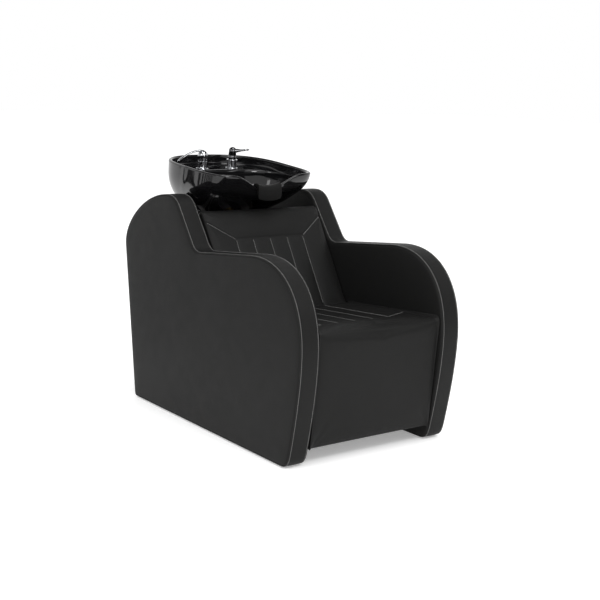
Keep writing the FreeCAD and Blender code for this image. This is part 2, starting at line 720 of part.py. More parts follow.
def shower():
    x = TAP_X
    flange = ring(26, 18.2, (x, TAP_S, DECK_W), (0, 0, 1), 5)
    export(seated(flange), "holder_flange")
    cone = Part.makeCone(17.4, 22, HOLDER_TOP - DECK_W, V(x, TAP_S, DECK_W))
    holder = fuse(cone, tap_tail(x))
    socket = Part.makeCone(10.3, SHOWER_R + 3.3, HOLDER_TOP - DECK_W - 6, V(x, TAP_S, DECK_W + 6))
    holder = holder.cut(socket).cut(rod(6.5, (x, TAP_S, -120), (0, 0, 1), 120))
    export(seated(holder), "shower_holder")
    low = DECK_W + 8
    grip_low = Part.makeCone(10, SHOWER_R + 2, HOLDER_TOP - low, V(x, TAP_S, low))
    grip = rod(SHOWER_R + 2, (x, TAP_S, HOLDER_TOP), (0, 0, 1), 34)
    head_w = HOLDER_TOP + 34
    body = fuse(grip_low, grip, Part.makeSphere(SHOWER_R + 2, V(x, TAP_S, head_w)))
    body = body.cut(rod(4.1, (x, TAP_S, low - 1), (0, 0, 1), 26))
    export(seated(body), "hand_shower_grip")
    return head_w


def shower_head(head_w):
    x = TAP_X
    base = V(x, TAP_S, head_w)
    aim = V(0.62, -0.75, 0.12)
    aim.normalize()
    start = base + aim * (SHOWER_R + 2.4)
    end = base + aim * 74
    neck = Part.makeCone(8, 9.5, 30, start, aim)
    paddle_base = end - aim * 26 + V(0, 0, 4)
    paddle = rod(19, paddle_base, (0, 0, 1), 9)
    paddle = paddle.common(Part.makeSphere(40, paddle_base - V(0, 0, 28)))
    head = neck.fuse(paddle).removeSplitter()
    face_base = paddle_base - V(0, 0, 2.4)
    face = rod(16, face_base, (0, 0, 1), 2.4)
    nozzles = [rod(1.0, face_base - V(0, 0, 1) + V(11 * math.cos(a), 11 * math.sin(a), 0), (0, 0, 1), 1.2)
               for a in [k * math.pi / 5 for k in range(10)]]
    export(seated(fuse(face, *nozzles)), "spray_face")
    return seated(head.cut(rod(16.1, face_base - V(0, 0, 8), (0, 0, 1), 8 + 2.4)))


def tube_along(points, r_out, r_in):
    """A round tube on straight runs joined by tangent arcs; prints section times length."""
    edges = []
    last = points[0]
    radii = []
    for k in range(1, len(points) - 1):
        a, b, c = points[k - 1], points[k], points[k + 1]
        reach = 0.45 * min((b - a).Length, (c - b).Length)
        u = (b - a).normalize()
        v = (c - b).normalize()
        turn = u.getAngle(v)
        radius = reach / math.tan(turn / 2)
        radii.append(round(radius))
        first = b - u * reach
        second = b + v * reach
        inward = (v - u).normalize()
        middle = b + inward * (radius / math.cos(turn / 2) - radius)
        edges.append(Part.makeLine(last, first))
        edges.append(Part.Arc(first, middle, second).toShape())
        last = second
    edges.append(Part.makeLine(last, points[-1]))
    path = Part.Wire(edges)
    start = (points[1] - points[0]).normalize()
    tubes = []
    for r in (r_out, r_in):
        profile = Part.Wire(Part.makeCircle(r, points[0], start))
        tubes.append(path.makePipeShell([profile], True, False))
    tube = tubes[0].cut(tubes[1])
    expected = math.pi * (r_out ** 2 - r_in ** 2) * path.Length
    print("tube length %.1f volume %.0f expected %.0f radii %s"
          % (path.Length, tube.Volume, expected, radii))
    return tube


def supply_lines():
    """Hot and cold: a hose from the mixer's shank down to a stop valve at the foot."""
    tail_y, tail_z = basin_point(TAP_S - TAIL_BACK / 2, DECK_W - DECK_T - 26)
    for side, sign in (("hot", -1), ("cold", 1)):
        start_x = -TAP_X + sign * TAIL_SIDE
        x = -TAP_X + sign * VALVE_X
        top = V(start_x, tail_y, tail_z - HOSE_GAP)
        first = V(start_x + sign * 2, tail_y + 2, tail_z - 70)
        second = V(x, VALVE_Y, tail_z - 200)
        end = V(x, VALVE_Y, VALVE_Z + 22)
        export(tube_along([top, first, second, end], HOSE_R, HOSE_R - 2), side + "_hose")
        body = box((x - 13, VALVE_Y - 12, VALVE_Z - 12), (x + 13, VALVE_Y + 13, VALVE_Z + 14))
        neck = ring(7.5, 4, (x, VALVE_Y, VALVE_Z + 14), (0, 0, 1), 8)
        inlet = ring(INLET_R, 5, (x, VALVE_Y + 13, VALVE_Z), (0, 1, 0), REAR_EXIT - VALVE_Y - 13)
        knob = rod(9, (x + sign * 13, VALVE_Y, VALVE_Z), (sign, 0, 0), 4)
        clip = box((x - 13, VALVE_Y - 16, RAIL_Z[1]), (x + 13, VALVE_Y - 12, VALVE_Z + 14))
        clip = clip.fuse(box((x - 13, UPRIGHT_Y[0] + 10, RAIL_Z[1]), (x + 13, VALVE_Y - 16, RAIL_Z[1] + 4)))
        export(fuse(body, neck, inlet, knob, clip), side + "_valve")


def waste_line():
    """A flexible hose from the tailpiece to a rigid elbow that leaves at the back."""
    start_y, start_z = basin_point(DRAIN_S, BASIN_FOOT_W - 60)
    top = V(0, start_y, start_z - 2 * HOSE_GAP)
    first = V(0, start_y + 6, start_z - 90)
    second = V(0, WASTE_Y, start_z - 260)
    end = V(0, WASTE_Y, WASTE_Z + 66)
    export(tube_along([top, first, second, end], WASTE_R - 3, WASTE_R - 5.5), "waste_hose")
    corner = V(0, WASTE_Y, WASTE_Z)
    exit_end = V(0, REAR_EXIT, WASTE_Z)
    export(tube_along([end, corner, exit_end], WASTE_R, WASTE_R - 3), "waste_outlet_pipe")


def shower_hose():
    """The pull-out hose: down through the holder, a loop, and up to the mixer's shank."""
    start_y, start_z = basin_point(TAP_S, DECK_W + 12)
    under_y, under_z = basin_point(TAP_S, DECK_W - DECK_T - 30)
    tail_y, tail_z = basin_point(TAP_S + TAIL_BACK, DECK_W - DECK_T - 26)
    points = [
        V(TAP_X, start_y, start_z),
        V(TAP_X, under_y, under_z),
        V(TAP_X, LOOP_Y, 760),
        V(TAP_X - 2, LOOP_Y, 660),
        V(TAP_X - 12, LOOP_Y, 605),
        V(TAP_X - 42, LOOP_Y, 580),
        V(TAP_X - 72, LOOP_Y, 605),
        V(TAP_X - 86, LOOP_Y, 660),
        V(-TAP_X + 20, LOOP_Y, 755),
        V(-TAP_X, tail_y + 2, tail_z - 40),
        V(-TAP_X, tail_y, tail_z - HOSE_GAP),
    ]
    export(tube_along(points, HOSE_R - 1, HOSE_R - 2.5), "shower_hose")


def main():
    os.makedirs("parts", exist_ok=True)
    left_glides, left_bolts = side_panel("left", 1)
    right_glides, right_bolts = side_panel("right", -1)
    export(group(left_glides + right_glides), "panel_glides")
    export(group(left_bolts + right_bolts), "panel_bolts")
    seat()
    back()
    stand()
    pivot()
    rear_cover()
    export(seated(basin_bowl()), "basin_bowl")
    cradle()
    export(neck_rest(), "neck_rest")
    drain()
    export(mixer(), "mixer_lever")
    export(shower_head(shower()), "hand_shower_head")
    back_nuts()
    supply_lines()
    waste_line()
    shower_hose()


main()
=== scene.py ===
"""The looks of the shampoo backwash unit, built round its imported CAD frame."""
import math

import bmesh
import bpy
import numpy as np
from mathutils import Matrix, Vector
from mathutils.bvhtree import BVHTree
from mathutils.geometry import delaunay_2d_cdt
from mathutils.kdtree import KDTree


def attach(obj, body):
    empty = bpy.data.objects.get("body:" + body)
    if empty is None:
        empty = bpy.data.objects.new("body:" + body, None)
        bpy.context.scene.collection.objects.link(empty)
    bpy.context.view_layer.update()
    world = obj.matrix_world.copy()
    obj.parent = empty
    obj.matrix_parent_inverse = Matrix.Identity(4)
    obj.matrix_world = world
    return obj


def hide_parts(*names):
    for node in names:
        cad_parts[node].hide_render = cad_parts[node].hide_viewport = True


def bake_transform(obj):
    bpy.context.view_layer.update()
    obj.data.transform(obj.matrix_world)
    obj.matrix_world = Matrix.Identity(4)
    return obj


MM = 0.001
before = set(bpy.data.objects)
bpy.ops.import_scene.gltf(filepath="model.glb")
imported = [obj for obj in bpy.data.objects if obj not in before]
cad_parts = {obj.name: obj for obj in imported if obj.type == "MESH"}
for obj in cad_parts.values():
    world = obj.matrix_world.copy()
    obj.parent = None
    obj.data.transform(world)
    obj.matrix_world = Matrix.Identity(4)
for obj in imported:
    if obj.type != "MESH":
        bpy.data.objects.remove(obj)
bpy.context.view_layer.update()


# ---------------------------------------------------------------- materials

class Mat:
    """A node material whose coordinates are the object's own, in metres."""

    def __init__(self, name, color, rough, metallic=0.0, specular=0.5):
        self.mat = bpy.data.materials.new(name)
        self.mat.use_nodes = True
        self.tree = self.mat.node_tree
        self.bsdf = self.tree.nodes["Principled BSDF"].inputs
        self.put(self.bsdf["Base Color"], (*color, 1))
        self.put(self.bsdf["Roughness"], rough)
        self.put(self.bsdf["Metallic"], metallic)
        self.put(self.bsdf["Specular IOR Level"], specular)
        self.coords = self.add("TexCoord", "Object", {})
        self.normal = None

    def put(self, socket, value):
        """Sets a socket to a constant, or links it to another node's output."""
        if isinstance(value, bpy.types.NodeSocket):
            self.tree.links.new(value, socket)
        else:
            socket.default_value = value

    def add(self, kind, output, inputs, **settings):
        """One output of a new node whose settings and inputs are given."""
        node = self.tree.nodes.new("ShaderNode" + kind)
        for name, value in settings.items():
            setattr(node, name, value)
        for name, value in inputs.items():
            self.put(node.inputs[name], value)
        return node.outputs[output]

    def stretch(self, scale):
        return self.add("Mapping", "Vector", {"Scale": scale, "Vector": self.coords})

    def noise(self, scale, detail=3.0, rough=0.55, vector=None):
        return self.add("TexNoise", "Fac", {"Scale": scale, "Detail": detail, "Roughness": rough,
                                            "Vector": vector or self.coords})

    def cells(self, scale):
        return self.add("TexVoronoi", "Distance", {"Scale": scale, "Vector": self.coords},
                        feature="DISTANCE_TO_EDGE")

    def waves(self, scale, direction="Z", distortion=0.0, vector=None):
        return self.add("TexWave", "Fac", {"Scale": scale, "Distortion": distortion,
                                           "Vector": vector or self.coords}, bands_direction=direction)

    def remap(self, value, low, high, start=0.0, end=1.0):
        return self.add("MapRange", "Result", {"From Min": start, "From Max": end, "To Min": low,
                                               "To Max": high, "Value": value})

    def mix(self, value, first, second):
        colors = [(*c, 1) if isinstance(c, tuple) else c for c in (first, second)]
        return self.add("Mix", "Result", {"Factor": value, "A": colors[0], "B": colors[1]}, data_type="RGBA")

    def edges(self, start=0.51, end=0.56):
        """1 on convex edges, 0 elsewhere: worn edges, and on the leathercloth also painted sheen."""
        return self.remap(self.add("NewGeometry", "Pointiness", {}), 0.0, 1.0, start, end)

    def multiply(self, first, second):
        return self.add("Math", "Value", {0: first, 1: second}, operation="MULTIPLY")

    def paint(self, value):
        self.put(self.bsdf["Base Color"], value)

    def shine(self, value):
        self.put(self.bsdf["Roughness"], value)

    def bump(self, height, distance, strength=1.0):
        inputs = {"Strength": strength, "Distance": distance, "Height": height}
        if self.normal:
            inputs["Normal"] = self.normal
        self.normal = self.add("Bump", "Normal", inputs)
        self.put(self.bsdf["Normal"], self.normal)


def grey(value):
    return (value, value, value * 0.98)


def vinyl(name, base, rough, specular=0.085):
    """Soft black leathercloth: pebbled grain, creases, and edges painted lighter, part rubbed wear and part
    painted sheen.
    """
    m = Mat(name, grey(base), rough, specular=specular)
    grain = m.cells(620.0)
    m.bump(m.remap(grain, 0.0, 1.0, 0.0, 0.22), 0.00022, 0.55)
    m.bump(m.noise(2600.0, 2.0), 0.00005, 0.35)
    m.bump(m.noise(9.0, 2.0), 0.0016, 0.05)
    tone = m.mix(m.noise(6.0, 4.0), grey(base * 0.94), grey(base * 1.06))
    # convex edges painted lighter: part rubbed wear, part painted sheen
    tone = m.mix(m.multiply(m.edges(), 0.35), tone, grey(base * 2.4))
    m.paint(tone)
    m.shine(m.remap(m.noise(22.0, 4.0), rough - 0.03, rough + 0.03, 0.3, 0.7))
    return m.mat


def thread():
    m = Mat("stitch_thread", grey(0.30), 0.62, specular=0.3)
    m.bump(m.waves(900.0, "DIAGONAL", 1.0), 0.0002, 0.8)
    m.paint(m.mix(m.noise(160.0, 2.0), grey(0.22), grey(0.38)))
    m.shine(m.remap(m.noise(300.0), 0.5, 0.75))
    return m.mat


def ceramic():
    m = Mat("gloss_ceramic", (0.004, 0.004, 0.0043), 0.05, specular=0.45)
    m.bump(m.noise(9.0, 2.0), 0.0012, 0.10)
    m.bump(m.noise(380.0, 2.0), 0.00003, 0.20)
    m.paint(m.mix(m.noise(30.0, 3.0), (0.003, 0.003, 0.0033), (0.0055, 0.0055, 0.006)))
    m.shine(m.remap(m.noise(45.0, 4.0), 0.035, 0.10, 0.35, 0.75))
    return m.mat


def metal(name, color, rough, brushed=0.0):
    m = Mat(name, color, rough, metallic=1.0)
    dark = tuple(c * 0.86 for c in color)
    m.paint(m.mix(m.noise(60.0, 4.0), dark, color))
    m.shine(m.remap(m.noise(120.0, 5.0), max(rough - 0.03, 0.02), rough + 0.07, 0.3, 0.7))
    if brushed:
        m.bump(m.noise(90.0, 3.0, vector=m.stretch((1.0, 1.0, 30.0))), 0.00004, brushed)
    m.bump(m.noise(500.0, 2.0), 0.00002, 0.25)
    return m.mat


def powder():
    """Black powder coat: orange peel, with lighter rubbed corners."""
    m = Mat("powder_coat", grey(0.025), 0.42)
    m.bump(m.noise(900.0, 2.0), 0.00012, 0.5)
    tone = m.mix(m.noise(12.0, 4.0), grey(0.02), grey(0.032))
    tone = m.mix(m.multiply(m.edges(0.53, 0.62), m.noise(70.0)), tone, grey(0.16))
    m.paint(tone)
    m.shine(m.remap(m.noise(30.0, 4.0), 0.36, 0.52, 0.3, 0.7))
    return m.mat


def wood():
    """Birch plywood with a black stain: long grain, with plies."""
    m = Mat("stained_plywood", (0.03, 0.026, 0.022), 0.62)
    grain = m.noise(40.0, 6.0, 0.65, m.stretch((1.0, 0.12, 1.0)))
    m.paint(m.mix(grain, (0.036, 0.031, 0.026), (0.018, 0.015, 0.012)))
    m.bump(grain, 0.0003, 0.4)
    m.bump(m.waves(110.0, "X", 0.4), 0.0001, 0.3)
    m.shine(m.remap(m.noise(60.0), 0.55, 0.72))
    return m.mat


def plastic(name, base, rough):
    m = Mat(name, base, rough)
    m.bump(m.noise(1500.0, 2.0), 0.00006, 0.4)
    tone = m.mix(m.noise(20.0, 3.0), tuple(c * 0.88 for c in base), base)
    m.paint(m.mix(m.multiply(m.edges(0.53, 0.6), 0.3), tone, tuple(c * 1.8 + 0.01 for c in base)))
    m.shine(m.remap(m.noise(50.0, 3.0), rough - 0.06, rough + 0.1, 0.3, 0.7))
    return m.mat


def braid():
    """Crossed steel wires over a rubber hose."""
    m = Mat("steel_braid", (0.6, 0.6, 0.6), 0.32, metallic=0.9)
    wires = 420.0
    other_way = m.stretch((-1.0, 1.0, 1.0))
    weave = m.multiply(m.waves(wires, "DIAGONAL"), m.waves(wires, "DIAGONAL", vector=other_way))
    m.paint(m.mix(weave, (0.16, 0.16, 0.17), (0.66, 0.66, 0.67)))
    m.bump(weave, 0.0004, 0.8)
    m.shine(m.remap(m.noise(200.0), 0.25, 0.45))
    return m.mat


LOOKS = {
    "black_vinyl": vinyl("leathercloth", 0.0102, 0.46),
    "plywood": wood(),
    "frame_steel": powder(),
    "zinc_steel": metal("bright_zinc", (0.62, 0.64, 0.66), 0.32, 0.3),
    "black_plastic": plastic("black_nylon", (0.02, 0.02, 0.021), 0.42),
    "black_ceramic": ceramic(),
    "chrome": metal("polished_chrome", (0.62, 0.63, 0.65), 0.06),
    "grey_plastic": plastic("grey_polypropylene", (0.16, 0.16, 0.17), 0.45),
    "brass": metal("plumbing_brass", (0.62, 0.46, 0.22), 0.30, 0.3),
    "braided_hose": braid(),
    "grey_silicone": vinyl("neck_gel", 0.007, 0.52),
}
# the back cushion's leathercloth: a darker copy of the same vinyl, its darkness painted shade, with a
# stronger specular
BACK_VINYL_PAINTED_SHADE = vinyl("back_leathercloth_painted_shade", 0.0076, 0.48, 0.15)
THREAD = thread()
SMOKED_CHROME = metal("smoked_chrome", (0.10, 0.10, 0.105), 0.08)


def dress_nodes():
    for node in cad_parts.values():
        for place in node.material_slots:
            kind = place.material.name.split(".")[0]
            place.material = LOOKS[kind]


# ---------------------------------------------------------------- mesh tools

def smooth(mesh):
    mesh.polygons.foreach_set("use_smooth", [True] * len(mesh.polygons))


def closed_mesh(name, verts, faces):
    """A closed mesh from points in millimetres, its faces turned outwards."""
    mesh = bpy.data.meshes.new(name)
    mesh.from_pydata((np.asarray(verts, float) * MM).tolist(), [], [list(f) for f in faces])
    bm = bmesh.new()
    bm.from_mesh(mesh)
    bmesh.ops.recalc_face_normals(bm, faces=bm.faces)
    bm.to_mesh(mesh)
    bm.free()
    return mesh


def linked(name, data):
    obj = bpy.data.objects.new(name, data)
    bpy.context.scene.collection.objects.link(obj)
    return obj


def apply_modifiers(obj):
    """Gives obj the mesh that its modifiers make, and takes them off."""
    depth = bpy.context.evaluated_depsgraph_get()
    mesh = bpy.data.meshes.new_from_object(obj.evaluated_get(depth))
    obj.modifiers.clear()
    old = obj.data
    obj.data = mesh
    bpy.data.meshes.remove(old)


def piece(name, verts, faces, look, body="frame", nodes=(), sharp=None):
    """A closed mesh, given in millimetres, that rides on a body and stands for CAD nodes."""
    mesh = closed_mesh(name, verts, faces)
    mesh.materials.append(look)
    smooth(mesh)
    if sharp:
        mesh.set_sharp_from_angle(angle=math.radians(sharp))
    obj = linked(name, mesh)
    if nodes:
        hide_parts(*nodes)
    if body:
        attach(obj, body)
    return obj


def bands(rows, count, wrap=False):
    """Quads between successive rows of count points; wrap joins the last row to the first."""
    faces = []
    for r in range(rows if wrap else rows - 1):
        near = r * count
        far = ((r + 1) % rows) * count
        for c in range(count):
            d = (c + 1) % count
            faces.append((near + c, near + d, far + d, far + c))
    return faces


def loft(rows):
    """Vertices and faces of a stack of loops with the same number of points, closed at both ends."""
    count = len(rows[0])
    last = (len(rows) - 1) * count
    verts = [tuple(p) for row in rows for p in row]
    faces = bands(len(rows), count)
    faces.append(tuple(range(count)))
    faces.append(tuple(range(last, last + count)))
    return verts, faces


def bezier(points, steps):
    p = [np.array(q, float) for q in points]
    t = np.linspace(0, 1, steps, endpoint=False)[:, None]
    return (1 - t) ** 3 * p[0] + 3 * (1 - t) ** 2 * t * p[1] + 3 * (1 - t) * t ** 2 * p[2] + t ** 3 * p[3]


def unit(a, b):
    way = np.array(b, float) - np.array(a, float)
    return way / np.linalg.norm(way)


def resample(points, pitch, closed=True):
    """Points at an even pitch along a polyline."""
    pts = np.asarray(points, float)
    if closed:
        pts = np.vstack([pts, pts[:1]])
    steps = np.linalg.norm(np.diff(pts, axis=0), axis=1)
    where = np.concatenate([[0], np.cumsum(steps)])
    count = max(int(round(where[-1] / pitch)), 2)
    at = np.linspace(0, where[-1], count + (0 if closed else 1), endpoint=not closed)
    return np.stack([np.interp(at, where, pts[:, k]) for k in range(pts.shape[1])], axis=1)


def left_of(ways):
    """Unit normals to the left of 2D directions."""
    ways = ways / np.linalg.norm(ways, axis=1)[:, None]
    return np.stack([-ways[:, 1], ways[:, 0]], axis=1)


def inward(loop):
    """Unit normals to the left of a closed 2D loop."""
    return left_of(np.roll(loop, -1, axis=0) - np.roll(loop, 1, axis=0))


def side_of(path):
    """Unit normals to the left of an open 2D path."""
    return left_of(np.gradient(path, axis=0))


def level_ring(x, s, r, w, sides):
    """A level circle about (x, s)."""
    turns = np.linspace(0, 2 * math.pi, sides, endpoint=False)
    return [(x + r * math.cos(a), s + r * math.sin(a), w) for a in turns]


def fill(loop, first):
    """Triangles over a flat closed loop whose points are numbered from first."""
    out = delaunay_2d_cdt([Vector(p) for p in loop], [], [list(range(len(loop)))], 1, 1e-4)
    match = {k: first + out[3][k][0] for k in range(len(out[0]))}
    return [tuple(match[i] for i in f) for f in out[2]]


def tree_of(points):
    tree = KDTree(len(points))
    for k, p in enumerate(points):
        tree.insert((p[0], p[1], 0), k)
    tree.balance()
    return tree


def hash_wave(y, z, seed):
    """A slow, repeatable ripple between -1 and 1."""
    return (math.sin(y * 0.021 + seed) * math.sin(z * 0.017 + 2.1 * seed)
            + 0.5 * math.sin(y * 0.043 - 1.3 * seed + 0.6) * math.cos(z * 0.038 + seed)) / 1.5


# ---------------------------------------------------------------- stitches

STITCH_R = 0.6
STITCH_LENGTH = 4.6
STITCH_SIDES = 6
STITCH_GAPS = (1.0, 14.0)


def stitch_shape():
    """A short rounded bar of unit length along X."""
    turns = np.linspace(0, 2 * math.pi, STITCH_SIDES, endpoint=False)
    ends = ((-0.5, 0.15), (-0.46, 0.6), (-0.38, 0.95), (0.38, 0.95), (0.46, 0.6), (0.5, 0.15))
    return loft([[(x, r * math.cos(a), r * math.sin(a)) for a in turns] for x, r in ends])


def stitches(name, runs):
    """Rows of stitches: runs holds lists of (place, surface normal), in millimetres."""
    shape, shape_faces = stitch_shape()
    shape = np.array(shape)
    verts, faces = [], []
    for run in runs:
        for (a, na), (b, nb) in zip(run, run[1:]):
            a, b = np.array(a, float), np.array(b, float)
            way = b - a
            gap = np.linalg.norm(way)
            if not STITCH_GAPS[0] <= gap <= STITCH_GAPS[1]:
                continue
            way /= gap
            up = np.array(na, float) + np.array(nb, float)
            up -= way * up.dot(way)
            up /= max(np.linalg.norm(up), 1e-9)
            basis = np.stack([way * STITCH_LENGTH, np.cross(up, way) * STITCH_R, up * STITCH_R])
            base = len(verts)
            verts.extend((shape @ basis + (a + b) / 2).tolist())
            faces.extend([tuple(base + i for i in f) for f in shape_faces])
    piece(name, verts, faces, THREAD)


# ---------------------------------------------------------------- side panels

PANEL_IN = 272.0
HALF = 350.0
REAR_FOOT = (505.0, 4.0)
REAR_KNEE = (587.0, 605.0)
HEAD_TOP = (256.0, 835.0)
STEP_TOP = (179.0, 797.0)
STEP_FOOT = (86.0, 674.0)
ARM_REAR = (31.0, 650.0)
ARM_FRONT = (-290.0, 684.0)
NOSE = (-595.0, 395.0)
SHIN = (-572.0, 165.0)
TOE_TOP = (-550.0, 62.0)
TOE_FOOT = (-500.0, 4.0)
FLOOR_GAP = 4.0
FOOT_R = 14.0
FOOT_KNOT = 0.55
OUTLINE_PITCH = 6.0
SKIN_CELL = 11.0
SKIN_CROWN = 2.1
STITCH_INSET = 6.2
STITCH_PITCH = 6.2


def moved(point, way, distance):
    return np.array(point, float) + way * distance


def panel_outline(pitch):
    up_rear = unit(REAR_FOOT, REAR_KNEE)
    down_step = unit(STEP_TOP, STEP_FOOT)
    to_front = unit(ARM_REAR, ARM_FRONT)
    down_toe = unit(SHIN, TOE_TOP)
    corner = np.array(REAR_FOOT)
    before = corner + np.array([-FOOT_R, 0.0])
    after = moved(REAR_FOOT, up_rear, FOOT_R)
    parts = [
        bezier([before, before + (corner - before) * FOOT_KNOT, after + (corner - after) * FOOT_KNOT,
                after], 8),
        bezier([after, moved(after, up_rear, 150), moved(REAR_KNEE, up_rear, -150), REAR_KNEE], 60),
        bezier([REAR_KNEE, moved(REAR_KNEE, up_rear, 100), (420, HEAD_TOP[1]), HEAD_TOP], 60),
        bezier([HEAD_TOP, (224, HEAD_TOP[1]), moved(STEP_TOP, down_step, -31), STEP_TOP], 24),
        bezier([STEP_TOP, moved(STEP_TOP, down_step, 40), moved(STEP_FOOT, down_step, -40), STEP_FOOT], 24),
        bezier([STEP_FOOT, moved(STEP_FOOT, down_step, 23), moved(ARM_REAR, to_front, -22), ARM_REAR], 20),
        bezier([ARM_REAR, moved(ARM_REAR, to_front, 100), moved(ARM_FRONT, to_front, -100), ARM_FRONT], 40),
        bezier([ARM_FRONT, moved(ARM_FRONT, to_front, 190), (NOSE[0], 585), NOSE], 60),
        bezier([NOSE, (NOSE[0], 290), SHIN, TOE_TOP], 50),
        bezier([TOE_TOP, moved(TOE_TOP, down_toe, 40), (-532, FLOOR_GAP), TOE_FOOT], 20),
        bezier([TOE_FOOT, (-200, FLOOR_GAP), (200, FLOOR_GAP), before], 80),
    ]
    return resample(np.vstack(parts), pitch)


def skin(name, face_x, sign, node, seed):
    """One padded face of a panel: a soft edge rolled into the seam, and a low crown."""
    loop = panel_outline(OUTLINE_PITCH)
    normal = inward(loop)
    count = len(loop)
    rows = [(5.0, -7.0), (5.0, -2.2), (5.5, -0.7), (7.0, 0.3), (9.5, 0.9), (13.0, 1.4)]
    verts = []
    for depth, rise in rows:
        for p, n in zip(loop, normal):
            y, z = p + n * depth
            verts.append((face_x + sign * rise, y, z))
    faces = bands(len(rows), count)
    inner = loop + normal * rows[-1][0]
    edge = tree_of(resample(inner, 1.5))
    spots = [tuple(p) for p in inner]
    low, high = inner.min(axis=0), inner.max(axis=0)
    for row, z in enumerate(np.arange(low[1] + SKIN_CELL, high[1], SKIN_CELL * 0.866)):
        for y in np.arange(low[0] + SKIN_CELL * (0.5 if row % 2 else 1.0), high[0], SKIN_CELL):
            if inside(inner, y, z) and edge.find((y, z, 0))[2] >= 7.0:
                spots.append((y, z))
    result = delaunay_2d_cdt([Vector(p) for p in spots], [], [list(range(count))], 1, 1e-4)
    base = (len(rows) - 1) * count
    index = {}
    for k, (co, origin) in enumerate(zip(result[0], result[3])):
        if origin and origin[0] < count:
            index[k] = base + origin[0]
            continue
        far = edge.find((co[0], co[1], 0))[2]
        ripple = 0.35 * hash_wave(co[0], co[1], seed) * min(far / 60.0, 1.0)
        rise = rows[-1][1] + SKIN_CROWN * (1 - math.exp(-far / 32.0)) + ripple
        index[k] = len(verts)
        verts.append((face_x + sign * rise, co[0], co[1]))
    faces += [tuple(index[i] for i in f) for f in result[2]]
    faces += fill(loop + normal * rows[0][0], 0)
    obj = piece(name, verts, faces, LOOKS["black_vinyl"], "frame", [node])


def inside(poly, y, z):
    """Whether (y, z) lies in a closed polygon."""
    a = poly
    b = np.roll(poly, -1, axis=0)
    crosses = (a[:, 1] > z) != (b[:, 1] > z)
    with np.errstate(divide="ignore", invalid="ignore"):
        at = a[:, 0] + (z - a[:, 1]) / (b[:, 1] - a[:, 1]) * (b[:, 0] - a[:, 0])
    return bool(np.sum(crosses & (y < at)) % 2)


def border(name, sign, node):
    """The strip round a panel's edge: soft corners, sunk into the seam on both faces."""
    loop = panel_outline(OUTLINE_PITCH)
    normal = inward(loop)
    half = (HALF - PANEL_IN) / 2
    middle = (HALF + PANEL_IN) / 2
    side = [(4.7, half - 8.0), (4.7, half - 2.6), (4.2, half - 0.9), (3.2, half - 0.15),
            (1.9, half - 0.6), (0.8, half - 2.0), (0.15, half - 4.2), (0.0, half - 7.0),
            (-0.15, half - 12.0), (-0.5, half - 22.0), (-0.6, 0.0)]
    profile = side + [(d, -x) for d, x in reversed(side[:-1])]
    verts = []
    for depth, x in profile:
        for p, n in zip(loop, normal):
            y, z = p + n * depth
            verts.append((sign * (middle + x), y, max(z, FLOOR_GAP - 1.0)))
    faces = bands(len(profile), len(loop), wrap=True)
    obj = piece(name, verts, faces, LOOKS["black_vinyl"], "frame", [node])


def border_stitches(name, sign):
    """Top-stitching on the strip, near each corner, everywhere but underneath."""
    runs = []
    path = panel_outline(STITCH_PITCH)
    normal = inward(path)
    for x in (HALF - STITCH_INSET, PANEL_IN + STITCH_INSET):
        run = []
        for p, n in zip(path, normal):
            if p[1] < FLOOR_GAP + 6:
                runs.append(run)
                run = []
                continue
            spot = p + n * 0.1
            run.append(((sign * x, spot[0], spot[1]), (0, -n[0], -n[1])))
        runs.append(run)
    stitches(name, runs)


def panels():
    for side, sign, seed in (("left", 1, 0.7), ("right", -1, 2.9)):
        skin(side + "_panel_outer_skin", sign * HALF, sign, side + "_outer_pad", seed)
        skin(side + "_panel_inner_skin", sign * PANEL_IN, -sign, side + "_inner_pad", seed + 1.4)
        border(side + "_panel_border", sign, side + "_border_band")
        border_stitches(side + "_panel_stitches", sign)


# ---------------------------------------------------------------- cushions

CUSHION_HALF = 266.0
SEAT_REAR = (-68.0, 430.0)
SEAT_NOSE = (-579.0, 467.0)
APRON_FOOT = (-546.0, 60.0)
SEAT_SLAB = 70.0
APRON_T = 24.0
BACK_TOP = (150.0, 790.0)
BACK_SINK = 58.0
BACK_T = 80.0
BACK_DIR = unit(SEAT_REAR, BACK_TOP)
BACK_NORMAL = np.array([BACK_DIR[1], -BACK_DIR[0]])
BACK_LENGTH = float(np.linalg.norm(np.array(BACK_TOP) - np.array(SEAT_REAR)))
CELL = 7.0
SIDE_R = 11.0
SEAM_HALF = 2.2
PAD_SINK = 3.4
SWELL = 5.2
SWELL_REACH = 17.0
SWELL_LIMIT = 9.0
GROOVE_WIDTH = 2.6
SIM_FRAMES = 20
STITCH_LIFT = 0.35
SEAM_PITCH = 6.4


def on_back(along, depth):
    return np.array(SEAT_REAR) + along * BACK_DIR + depth * BACK_NORMAL


def stations(keys):
    """Values that hit every key, about a cell apart."""
    out = [keys[0]]
    for a, b in zip(keys, keys[1:]):
        count = max(int(round((b - a) / CELL)), 1)
        out += [a + (b - a) * (k + 1) / count for k in range(count)]
    return out


def across(keys):
    """Stations over the width, mirrored, with a close-set soft edge, and each one's draw-in."""
    side = CUSHION_HALF - 0.6 - SIDE_R
    flat = stations([0.0] + [k for k in keys if 0 < k < side] + [side])
    curve = [(side + SIDE_R * math.sin(a), SIDE_R * (1 - math.cos(a))) for a in (0.35, 0.7, 1.05, 1.4)]
    right = [(x, 0.0) for x in flat] + curve
    left = [(-x, d) for x, d in reversed(right[1:])]
    return left + right


def draw_in(loop, free, depth):
    """A closed loop whose free points move inwards by depth."""
    normal = inward(loop)
    return loop + normal * (depth * free)[:, None]


